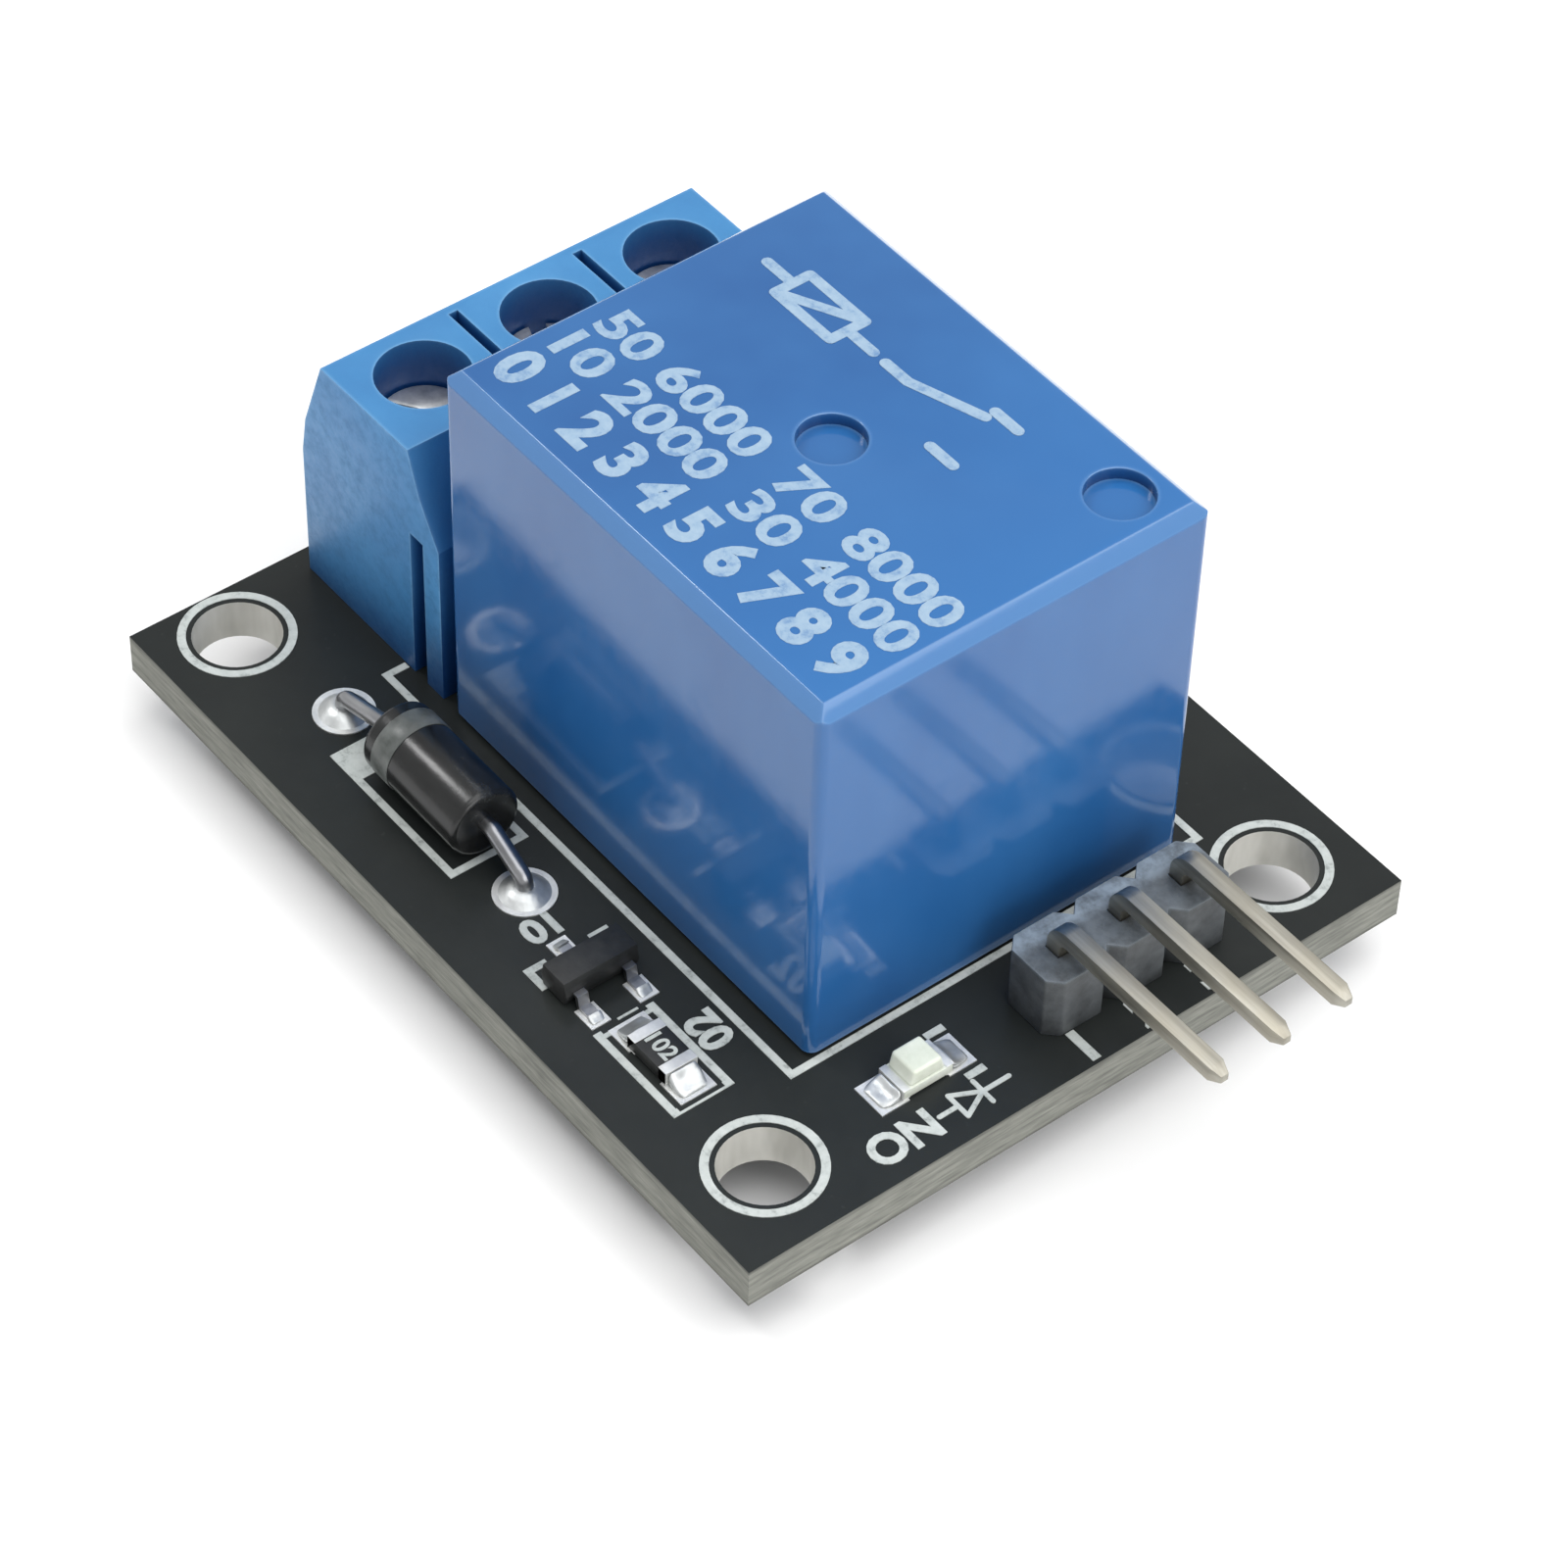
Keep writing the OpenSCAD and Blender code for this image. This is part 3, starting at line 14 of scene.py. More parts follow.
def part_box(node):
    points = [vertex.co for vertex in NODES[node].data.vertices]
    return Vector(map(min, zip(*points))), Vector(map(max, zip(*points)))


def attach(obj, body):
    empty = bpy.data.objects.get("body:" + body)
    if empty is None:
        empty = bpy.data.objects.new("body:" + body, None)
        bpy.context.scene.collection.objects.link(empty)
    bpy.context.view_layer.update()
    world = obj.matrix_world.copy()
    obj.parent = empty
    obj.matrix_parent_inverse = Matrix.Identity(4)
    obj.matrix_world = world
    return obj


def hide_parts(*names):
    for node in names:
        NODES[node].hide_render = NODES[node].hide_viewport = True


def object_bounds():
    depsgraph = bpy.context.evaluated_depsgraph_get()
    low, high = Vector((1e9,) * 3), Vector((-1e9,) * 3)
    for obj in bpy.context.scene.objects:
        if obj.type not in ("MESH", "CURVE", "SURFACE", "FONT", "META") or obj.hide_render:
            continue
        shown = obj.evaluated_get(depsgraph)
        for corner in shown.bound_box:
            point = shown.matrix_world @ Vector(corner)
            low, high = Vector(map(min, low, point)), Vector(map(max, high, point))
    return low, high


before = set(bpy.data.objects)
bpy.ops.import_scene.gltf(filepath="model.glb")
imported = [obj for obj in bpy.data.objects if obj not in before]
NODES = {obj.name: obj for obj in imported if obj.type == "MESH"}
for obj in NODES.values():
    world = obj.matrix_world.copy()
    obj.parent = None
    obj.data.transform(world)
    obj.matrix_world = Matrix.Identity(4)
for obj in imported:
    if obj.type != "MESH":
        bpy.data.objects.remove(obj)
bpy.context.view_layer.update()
MM = 0.001


# ------------------------------------------------------------------ camera

# where the camera stands, in degrees round and above the board, and its tilt
CAMERA_SIDE = 51.643
CAMERA_HEIGHT = 45.874
CAMERA_TILT = 1.041
# how far it stands from what it aims at, and that point, in millimetres
CAMERA_DISTANCE = 169.842
CAMERA_AIM = (2.204, -2.699, 6.0)
# lens and sensor in millimetres, and the frame's shifts as shares of its width
FOCAL_LENGTH = 121.92
SENSOR_WIDTH = 36
SHIFT_X = 0.0395
SHIFT_Y = -0.0351


def look_at(side, height, tilt, distance, target):
    """Rotation and place of a camera that sees target from that side."""
    a, e, r = (math.radians(x) for x in (side, height, tilt))
    back = Vector((math.sin(a) * math.cos(e), -math.cos(a) * math.cos(e), math.sin(e)))
    level = Vector((math.cos(a), math.sin(a), 0))
    upright = back.cross(level)
    right = level * math.cos(r) + upright * math.sin(r)
    up = upright * math.cos(r) - level * math.sin(r)
    turn = Matrix((right, up, back)).transposed().to_4x4()
    return Matrix.Translation(target + back * distance) @ turn


def add_camera():
    data = bpy.data.cameras.new("camera")
    data.sensor_width = SENSOR_WIDTH
    data.lens = FOCAL_LENGTH
    data.shift_x = SHIFT_X
    data.shift_y = SHIFT_Y
    data.clip_start = 0.01
    data.clip_end = 5
    camera = bpy.data.objects.new("camera", data)
    bpy.context.scene.collection.objects.link(camera)
    camera.matrix_world = look_at(CAMERA_SIDE, CAMERA_HEIGHT, CAMERA_TILT,
                                  CAMERA_DISTANCE * MM, Vector(CAMERA_AIM) * MM)
    bpy.context.scene.camera = camera


# ------------------------------------------------------------------ material kit

class Mat:
    """A node material built line by line."""

    def __init__(self, name):
        self.mat = bpy.data.materials.new(name)
        self.mat.use_nodes = True
        self.tree = self.mat.node_tree
        self.bsdf = self.tree.nodes["Principled BSDF"]
        self.coord = self.tree.nodes.new("ShaderNodeTexCoord").outputs["Object"]

    def feed(self, socket, value):
        """Link a node's output to a socket, or set the socket's own value."""
        if isinstance(value, bpy.types.NodeSocket):
            self.tree.links.new(value, socket)
        else:
            socket.default_value = value

    def node(self, kind, **inputs):
        n = self.tree.nodes.new(kind)
        for key, value in inputs.items():
            self.feed(n.inputs[key.replace("_", " ")], value)
        return n

    def shader(self, **inputs):
        for key, value in inputs.items():
            self.feed(self.bsdf.inputs[key.replace("_", " ")], value)

    def stretched(self, scale):
        """Object coordinates, scaled by a number for each axis."""
        return self.node("ShaderNodeMapping", Vector=self.coord, Scale=scale).outputs["Vector"]

    def noise(self, scale, detail=3, roughness=0.5, vector=None):
        """Noise with features about 1 / scale metres across."""
        n = self.node("ShaderNodeTexNoise", Scale=scale, Detail=detail, Roughness=roughness,
                      Vector=vector or self.coord)
        return n.outputs["Fac"]

    def ramp(self, value, *stops):
        """Colours along a value from 0 to 1. Stops are (place, colour)."""
        n = self.tree.nodes.new("ShaderNodeValToRGB")
        self.feed(n.inputs["Fac"], value)
        while len(n.color_ramp.elements) < len(stops):
            n.color_ramp.elements.new(0.5)
        for element, (place, colour) in zip(n.color_ramp.elements, stops):
            element.position = place
            element.color = colour
        return n.outputs["Color"]

    def grey(self, value, low, high, start=0.0, end=1.0):
        """Value from low to high as the input goes from start to end."""
        n = self.node("ShaderNodeMapRange", Value=value, From_Min=start, From_Max=end,
                      To_Min=low, To_Max=high)
        return n.outputs["Result"]

    def mix(self, share, a, b):
        """Colour a, with that share of colour b over it."""
        n = self.tree.nodes.new("ShaderNodeMix")
        n.data_type = "RGBA"
        self.feed(n.inputs[0], share)
        under, over = (s for s in n.inputs if s.type == "RGBA")
        self.feed(under, a)
        self.feed(over, b)
        return next(s for s in n.outputs if s.type == "RGBA")

    def maths(self, operation, a, b=0.0):
        n = self.tree.nodes.new("ShaderNodeMath")
        n.operation = operation
        self.feed(n.inputs[0], a)
        self.feed(n.inputs[1], b)
        return n.outputs[0]

    def axis(self, name, source=None):
        """One coordinate, in metres."""
        return self.node("ShaderNodeSeparateXYZ", Vector=source or self.coord).outputs[name]

    def normal_axis(self, name):
        """How far the surface faces along an axis, from -1 to 1."""
        n = self.tree.nodes.new("ShaderNodeNewGeometry")
        return self.axis(name, n.outputs["True Normal"])

    def edge(self, radius):
        """1 along sharp edges, 0 on flat faces."""
        n = self.node("ShaderNodeBevel", Radius=radius)
        n.samples = 4
        flat = self.tree.nodes.new("ShaderNodeNewGeometry").outputs["Normal"]
        dot = self.tree.nodes.new("ShaderNodeVectorMath")
        dot.operation = "DOT_PRODUCT"
        self.feed(dot.inputs[0], n.outputs["Normal"])
        self.feed(dot.inputs[1], flat)
        return self.grey(dot.outputs["Value"], 1, 0, 0.75, 0.99)

    def shade(self, distance):
        """How open the surface is, from 0 deep in a hollow to 1 in the open."""
        n = self.node("ShaderNodeAmbientOcclusion", Distance=distance)
        n.samples = 8
        return n.outputs["AO"]

    def bump(self, height, strength, distance):
        n = self.node("ShaderNodeBump", Height=height, Strength=strength, Distance=distance)
        self.feed(self.bsdf.inputs["Normal"], n.outputs["Normal"])


def rgb(text):
    """Linear colour from an sRGB hex string."""
    parts = [int(text[i:i + 2], 16) / 255 for i in (0, 2, 4)]
    linear = (c / 12.92 if c <= 0.04045 else ((c + 0.055) / 1.055) ** 2.4 for c in parts)
    return (*linear, 1)


# ------------------------------------------------------------------ materials

def board_mask():
    """Black solder mask above and below, cut laminate round the edge, smooth hole walls."""
    m = Mat("board_mask")
    low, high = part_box("board")
    cloud = m.noise(220, 4, 0.6)
    dust = m.noise(2600, 2, 0.7)
    mask = m.ramp(cloud, (0.3, rgb("212424")), (0.75, rgb("292c2b")))
    mask = m.mix(m.grey(dust, 0, 0.2, 0.68, 0.8), mask, rgb("474a49"))

    weave = m.noise(1500, 3, 0.7, m.stretched((0.35, 0.35, 4)))
    fibre = m.ramp(weave, (0.3, rgb("686964")), (0.5, rgb("7f8079")), (0.75, rgb("95968e")))
    from_middle = m.maths("ABSOLUTE", m.maths("SUBTRACT", m.axis("Z"), (low.z + high.z) / 2))
    fibre = m.mix(m.grey(from_middle, 0, 0.6, 0.62 * MM, 0.79 * MM), fibre, rgb("42433f"))

    wall = m.ramp(m.noise(700, 3, 0.6, m.stretched((1, 1, 0.3))),
                  (0.3, rgb("b2b1aa")), (0.7, rgb("d6d5cf")))
    inside = 1.0
    for name, a, b in (("X", low.x, high.x), ("Y", low.y, high.y)):
        for edge, sign in ((a, 1), (b, -1)):
            clear = m.maths("MULTIPLY", m.maths("SUBTRACT", m.axis(name), edge), sign)
            inside = m.maths("MINIMUM", inside, m.grey(clear, 0, 1, 0.2 * MM, 0.4 * MM))

    side = m.grey(m.maths("ABSOLUTE", m.normal_axis("Z")), 1, 0, 0.4, 0.6)
    m.shader(Base_Color=m.mix(side, mask, m.mix(inside, fibre, wall)),
             Roughness=m.grey(side, 0.34, 0.8), Specular_IOR_Level=0.2)
    m.bump(m.noise(3200, 3, 0.6), 0.12, 0.04 * MM)
    return m.mat


def track_mask():
    """The same mask where it covers copper, a little smoother."""
    m = Mat("track_mask")
    cloud = m.noise(300, 4, 0.6)
    m.shader(Base_Color=m.ramp(cloud, (0.3, rgb("171a1b")), (0.75, rgb("212526"))),
             Roughness=m.grey(cloud, 0.3, 0.42))
    m.bump(m.noise(2600, 3, 0.6), 0.15, 0.04 * MM)
    return m.mat


def print_white():
    """Worn white ink on the board."""
    m = Mat("print_white")
    wear = m.noise(2600, 4, 0.7)
    m.shader(Base_Color=m.ramp(wear, (0.28, rgb("858b89")), (0.45, rgb("b6bcb9")),
                               (0.8, rgb("cacfcc"))),
             Roughness=0.55)
    m.bump(m.noise(5000, 3, 0.6), 0.2, 0.03 * MM)
    return m.mat


def cover_print():
    """Pad print on the cover, thin enough for the blue to grey it."""
    m = Mat("cover_print")
    wear = m.noise(2100, 4, 0.75)
    m.shader(Base_Color=m.ramp(wear, (0.3, rgb("6285ad")), (0.47, rgb("8aa4bc")),
                               (0.8, rgb("9db3c5"))),
             Roughness=0.5)
    m.bump(m.noise(4200, 3, 0.6), 0.2, 0.03 * MM)
    return m.mat


def tin():
    """Dull tinned metal of the pads and the small parts' ends."""
    m = Mat("tin")
    cloud = m.noise(1500, 4, 0.6)
    m.shader(Base_Color=m.ramp(cloud, (0.3, rgb("d2d3d2")), (0.7, rgb("f2f3f1"))),
             Metallic=0.85, Roughness=m.grey(cloud, 0.42, 0.6))
    m.bump(m.noise(2600, 3, 0.6), 0.25, 0.04 * MM)
    return m.mat


def solder():
    """Set solder, brighter and lumpier than the tin."""
    m = Mat("solder")
    cloud = m.noise(900, 4, 0.6)
    m.shader(Base_Color=m.ramp(cloud, (0.3, rgb("adb0b0")), (0.7, rgb("dadddd"))),
             Metallic=0.8, Roughness=m.grey(cloud, 0.26, 0.5))
    m.bump(m.noise(1300, 3, 0.5), 0.4, 0.1 * MM)
    return m.mat


def cover_blue():
    """Glossy dyed moulding: faint flow marks, a few smudges and paler rubbed edges, with a
    painted sheen on the chamfer, a top painted paler towards +X and painted shade on the walls
    of the two recesses."""
    m = Mat("cover_blue")
    low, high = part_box("relay_cover")
    up = m.normal_axis("Z")
    flow = m.noise(150, 3, 0.6, m.stretched((1, 1, 0.5)))
    body = m.ramp(flow, (0.25, rgb("205590")), (0.5, rgb("275d97")), (0.8, rgb("2f66a0")))

    on_top = m.grey(up, 0, 1, 0.9, 0.97)
    # painted light: on the top the blue is painted paler towards +X, where the top looks more
    # brightly lit
    far = m.maths("MULTIPLY", on_top, m.grey(m.axis("X"), 0, 0.75, low.x + 6 * MM, high.x))
    body = m.mix(far, body, rgb("2b6aa8"))

    # painted sheen: the sloping chamfer faces between the top and the sides are painted a paler
    # blue, standing in for the sky they mirror
    chamfer = m.maths("MINIMUM", m.grey(up, 0, 1, 0.3, 0.5), m.grey(up, 1, 0, 0.9, 0.97))
    body = m.mix(m.maths("MULTIPLY", chamfer, 0.7), body, rgb("5581b3"))
    body = m.mix(m.grey(m.edge(0.25 * MM), 0, 0.4), body, rgb("7aa3cf"))

    # painted shade: upright walls in the top 0.6 mm of the cover that the ambient occlusion
    # finds hemmed in, which are the walls of the two recesses, are painted a darker blue
    near_top = m.grey(m.axis("Z"), 0, 1, high.z - 0.7 * MM, high.z - 0.6 * MM)
    upright = m.maths("MULTIPLY", m.grey(up, 1, 0, 0.1, 0.3), near_top)
    recess = m.maths("MULTIPLY", upright, m.grey(m.shade(1 * MM), 1, 0, 0.5, 0.85))
    body = m.mix(recess, body, rgb("0f3a70"))

    smudge = m.grey(m.noise(330, 4, 0.7), 0, 1, 0.6, 0.74)
    dull = m.maths("ADD", m.maths("MULTIPLY", smudge, 0.6), m.noise(1900, 3, 0.6))
    m.shader(Base_Color=body, IOR=1.58, Roughness=m.grey(dull, 0.1, 0.26, 0.35, 1.3))
    m.bump(m.noise(260, 3, 0.5), 0.12, 0.06 * MM)
    return m.mat


def terminal_blue():
    """Satin moulding, lighter than the cover, mottled on its rough end faces, with painted shade
    in its wells, its slots and on the faces hemmed in by the relay.
    """
    m = Mat("terminal_blue")
    flow = m.noise(260, 4, 0.6)
    pits = m.noise(1500, 4, 0.75)
    body = m.ramp(flow, (0.25, rgb("3676ac")), (0.55, rgb("3d80b5")), (0.8, rgb("498cc0")))
    body = m.mix(m.grey(m.edge(0.22 * MM), 0, 0.45), body, rgb("93c0e0"))
    end = m.grey(m.maths("ABSOLUTE", m.normal_axis("Y")), 0, 1, 0.6, 0.9)
    mottle = m.maths("MULTIPLY", end, m.grey(pits, 0, 0.45, 0.45, 0.7))
    body = m.mix(mottle, body, rgb("255a83"))
    # painted shade: where the ambient occlusion finds the moulding hemmed in, in the wells, the
    # slots and the faces by the relay, the colour is mixed towards a dark blue
    is_open = m.grey(m.shade(4 * MM), 0, 1, 0.3, 0.85)
    m.shader(Base_Color=m.mix(is_open, rgb("0e3f78"), body),
             Roughness=m.grey(pits, 0.36, 0.56, 0.3, 0.7), Specular_IOR_Level=0.45)
    m.bump(m.noise(1300, 4, 0.7), 0.3, 0.06 * MM)
    return m.mat


def black_plastic():
    """Fine-grained moulding compound of the small parts and the relay's base."""
    m = Mat("black_plastic")
    grain = m.noise(2600, 4, 0.65)
    m.shader(Base_Color=m.ramp(grain, (0.3, rgb("161717")), (0.7, rgb("252626"))),
             Roughness=m.grey(grain, 0.34, 0.52))
    m.bump(m.noise(3600, 3, 0.6), 0.2, 0.04 * MM)
    return m.mat


def diode_black():
    """Glossier than the other black parts, with scuffs along the body."""
    m = Mat("diode_black")
    grain = m.noise(900, 4, 0.7, m.stretched((0.35, 1, 1)))
    m.shader(Base_Color=m.ramp(grain, (0.3, rgb("121313")), (0.6, rgb("1f2020")),
                               (0.75, rgb("3b3d3c"))),
             Roughness=m.grey(grain, 0.14, 0.34))
    m.bump(m.noise(1500, 4, 0.6), 0.2, 0.04 * MM)
    return m.mat


def header_plastic():
    """Dark moulding, worn pale on its corners, with a painted highlight on its upper faces
    towards -X, and painted shade on the faces towards -Y and in the hollows by the pins."""
    m = Mat("header_plastic")
    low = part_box("header_body")[0]
    grain = m.noise(1500, 4, 0.7)
    dark = rgb("1b1e1f")
    body = m.ramp(grain, (0.3, rgb("3c3f41")), (0.7, rgb("585c5f")))
    # painted shade: faces that look towards -Y are mixed a quarter of the way to the dark colour
    body = m.mix(m.grey(m.normal_axis("Y"), 0.25, 0, -0.95, -0.75), body, dark)

    # painted highlight: upward faces are painted pale, fully within 0.5 mm of the -X side and
    # faintly further in, broken up by the grain; the pale corners from the edge mask are wear
    up = m.grey(m.normal_axis("Z"), 0, 1, 0.5, 0.95)
    inward = m.grey(m.axis("X"), 1, 0.22, low.x + 0.5 * MM, low.x + 1 * MM)
    top_highlight = m.maths("MULTIPLY", m.maths("MULTIPLY", up, inward), m.grey(grain, 0.3, 1, 0.3, 0.6))
    wear_and_highlight = m.maths("MAXIMUM", m.grey(m.edge(0.18 * MM), 0, 0.55), top_highlight)
    body = m.mix(wear_and_highlight, body, rgb("8a97a2"))

    # painted shade: where the ambient occlusion finds the moulding hemmed in, in the hollows by
    # the pins, the colour turns to the dark colour
    is_open = m.grey(m.shade(1.2 * MM), 0, 1, 0.25, 0.65)
    m.shader(Base_Color=m.mix(is_open, dark, body), Roughness=m.grey(grain, 0.4, 0.6))
    m.bump(m.noise(2100, 4, 0.7), 0.35, 0.06 * MM)
    return m.mat


def pin_metal():
    """Tinned brass, warm grey, with die lines along the pin."""
    m = Mat("pin_metal")
    lines = m.noise(2200, 3, 0.6, m.stretched((0.06, 1, 1)))
    warm = m.noise(500, 3, 0.6)
    body = m.ramp(lines, (0.3, rgb("8e8b82")), (0.7, rgb("bcb9ae")))
    m.shader(Base_Color=m.mix(m.grey(warm, 0, 0.3, 0.4, 0.7), body, rgb("9a917c")),
             Metallic=1.0, Roughness=m.grey(lines, 0.34, 0.5))
    m.bump(lines, 0.25, 0.03 * MM)
    return m.mat


def metal(name, low, high, rough_low, rough_high, stretch=(1, 1, 1), scale=1300):
    """Bare or plated metal with fine tool lines, between two colours."""
    m = Mat(name)
    lines = m.noise(scale, 4, 0.6, m.stretched(stretch))
    m.shader(Base_Color=m.ramp(lines, (0.3, rgb(low)), (0.7, rgb(high))), Metallic=1.0,
             Roughness=m.grey(lines, rough_low, rough_high))
    m.bump(lines, 0.2, 0.03 * MM)
    return m.mat


def copper_wire():
    """Enamelled winding: fine turns round the coil."""
    m = Mat("copper_wire")
    wire = 0.12 * MM
    turns = m.maths("SINE", m.maths("MULTIPLY", m.axis("Z"), 2 * math.pi / wire))
    m.shader(Base_Color=m.ramp(m.grey(turns, 0, 1, -1, 1), (0.0, rgb("6a2f12")),
                               (1.0, rgb("c0703a"))),
             Metallic=0.8, Roughness=0.35)
    m.bump(turns, 0.6, 0.04 * MM)
    return m.mat


def moulding(name, low, high, rough_low=0.4, rough_high=0.55):
    """Plain moulded plastic between two colours."""
    m = Mat(name)
    grain = m.noise(1200, 4, 0.6)
    m.shader(Base_Color=m.ramp(grain, (0.3, rgb(low)), (0.7, rgb(high))),
             Roughness=m.grey(grain, rough_low, rough_high))
    m.bump(m.noise(2200, 3, 0.6), 0.2, 0.04 * MM)
    return m.mat


BLACK = black_plastic()
SILVER = metal("contact_silver", "c3c3bf", "ecece8", 0.15, 0.3)
TIN = tin()
SOLDER = solder()
PIN = pin_metal()
IRON = metal("plated_iron", "8f9294", "babdbe", 0.3, 0.48)
BRASS = metal("brass", "a98a4c", "d6b878", 0.25, 0.42)
LEAD = metal("lead_wire", "85868a", "adaeb0", 0.25, 0.42, (0.2, 1, 1), 900)
PLATED = metal("plated_steel", "a3a29b", "cfcec7", 0.25, 0.42)
SCREW = metal("screw_steel", "d6d6d2", "fafaf6", 0.36, 0.55, scale=1900)

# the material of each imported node, or of all nodes whose names start so
LOOKS = {
    "board": board_mask(),
    "silkscreen": print_white(),
    "tracks_bottom": track_mask(),
    "solder": SOLDER,
    "relay_cover": cover_blue(),
    "relay_print": cover_print(),
    "relay_base": BLACK,
    "relay_bobbin": moulding("bobbin_nylon", "c2bda6", "d8d4c2"),
    "relay_coil": copper_wire(),
    "relay_core": IRON,
    "relay_yoke": IRON,
    "relay_armature": IRON,
    "armature_rivets": BRASS,
    "leaf_spring": metal("spring_bronze", "a56a35", "d2955a", 0.25, 0.4),
    "moving_contact": SILVER,
    "fixed_contacts": SILVER,
    "common_terminal": BRASS,
    "open_terminal": BRASS,
    "closed_terminal": BRASS,
    "terminal_housing": terminal_blue(),
    "terminal_clamp": PLATED,
    "terminal_screw": SCREW,
    "wire_guard": PLATED,
    "header_body": header_plastic(),
    "header_pin": PIN,
    "diode_body": diode_black(),
    "diode_band": moulding("band_grey", "424644", "6c706e", 0.25, 0.45),
    "diode_leads": LEAD,
    "transistor_body": BLACK,
    "transistor_leads": LEAD,
    "resistor_body": BLACK,
    "led_base": moulding("lamp_base", "c4c9bc", "e4e8de"),
    "led_lens": moulding("lamp_lens", "d6dccb", "eaefe2", 0.12, 0.3),
}


def look_of(name):
    """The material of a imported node. Pads, pins and ends not named above are tinned."""
    return next((look for start, look in LOOKS.items() if name.startswith(start)), TIN)


def dress_nodes():
    for name, obj in NODES.items():
        obj.data.materials.clear()
        obj.data.materials.append(look_of(name))


# ------------------------------------------------------------------ shape kit

# edges that fold by more than this are eased, and faces flatter than this are joined,
# both in degrees
FOLD = 30
FLAT = 0.5
# how full an eased edge is, where 0.5 is a true arc
FULLNESS = 0.6
# corners closer than this are one corner, in metres
SAME = 1e-6


def new_piece(name, mesh, look, body="module", smooth=35, stands_for=()):
    """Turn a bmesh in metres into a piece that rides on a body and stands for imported
    nodes. Edges that fold by more than smooth degrees look sharp."""
    data = bpy.data.meshes.new(name)
    mesh.to_mesh(data)
    mesh.free()
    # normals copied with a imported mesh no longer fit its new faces
    if "custom_normal" in data.attributes:
        data.attributes.remove(data.attributes["custom_normal"])
    data.materials.append(look)
    for face in data.polygons:
        face.use_smooth = True
    data.set_sharp_from_angle(angle=math.radians(smooth))
    obj = bpy.data.objects.new(name, data)
    bpy.context.scene.collection.objects.link(obj)
    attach(obj, body)
    if stands_for:
        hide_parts(*stands_for)


def clean_copy(node):
    """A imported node's mesh, with doubled corners and needless edges joined."""
    mesh = bmesh.new()
    mesh.from_mesh(NODES[node].data)
    bmesh.ops.remove_doubles(mesh, verts=mesh.verts, dist=SAME)
    bmesh.ops.dissolve_limit(mesh, angle_limit=math.radians(FLAT), verts=mesh.verts,
                             edges=mesh.edges)
    return mesh


def ease(mesh, width, segments, above=-math.inf):
    """Round the outer edges that lie above a height. The width is in millimetres."""
    edges = [e for e in mesh.edges if e.is_manifold and e.is_convex
             and e.calc_face_angle() > math.radians(FOLD)
             and min(v.co.z for v in e.verts) > above]
    bmesh.ops.bevel(mesh, geom=edges, offset=width * MM, segments=segments,
                    profile=FULLNESS, affect="EDGES", clamp_overlap=True)


def split_wide_faces(mesh):
    """Triangulate the faces with more than four corners."""
    bmesh.ops.triangulate(mesh, faces=[f for f in mesh.faces if len(f.verts) > 4])


def sweep(mesh, rings):
    """Closed body with one ring of corners after another and a face at each end."""
    count = len(rings[0])
    for a, b in zip(rings, rings[1:]):
        for k in range(count):
            n = (k + 1) % count
            mesh.faces.new((a[k], a[n], b[n], b[k]))
    mesh.faces.new(list(reversed(rings[0])))
    mesh.faces.new(rings[-1])


# ------------------------------------------------------------------ softened parts

def soften(node, piece, width, segments=2):
    """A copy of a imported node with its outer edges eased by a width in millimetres,
    which stands for the node."""
    mesh = clean_copy(node)
    ease(mesh, width, segments)
    split_wide_faces(mesh)
    new_piece(piece, mesh, look_of(node), smooth=40, stands_for=(node,))


def soften_parts():
    soften("relay_cover", "cover_shell", 0.14, segments=3)
    soften("terminal_housing", "terminal_shell", 0.09)
    soften("header_body", "header_shell", 0.07)
    soften("transistor_body", "transistor_shell", 0.04)
    soften("resistor_body", "resistor_chip", 0.03)
    soften("resistor_terminals", "resistor_ends", 0.05, segments=3)
    soften("led_base", "lamp_chip", 0.03)
    soften("led_lens", "lamp_dome", 0.12, segments=4)
    soften("led_terminals", "lamp_ends", 0.05, segments=3)
    for i in (1, 2, 3):
        soften(f"header_pin_{i}", f"pin_{i}_bar", 0.03)


# ------------------------------------------------------------------ solder

# a cone of solder has more corners than this, a wedge has fewer
WEDGE_CORNERS = 40
# how wide a cone's rim is eased, in millimetres
RIM_EASE = 0.06
# how a bead is made from a wedge: cuts in each edge, twice, and rounds of smoothing
BEAD_CUTS = (3, 1)
BEAD_ROUNDS = 7
# how far a bead's skin wanders, in millimetres, and how closely, per metre
SKIN_WANDER = 0.03
SKIN_SCALE = 2400


def islands(mesh):
    """The separate shells of a bmesh, as lists of vertices, in the mesh's own order."""
    seen, found = set(), []
    for first in mesh.verts:
        if first in seen:
            continue
        seen.add(first)
        front, shell = [first], []
        while front:
            v = front.pop()
            shell.append(v)
            for e in v.link_edges:
                other = e.other_vert(v)
                if other not in seen:
                    seen.add(other)
                    front.append(other)
        found.append(shell)
    return found


def reach(mesh):
    """Lowest and highest corner of a bmesh's box."""
    low = Vector(min(v.co[k] for v in mesh.verts) for k in range(3))
    high = Vector(max(v.co[k] for v in mesh.verts) for k in range(3))
    return low, high


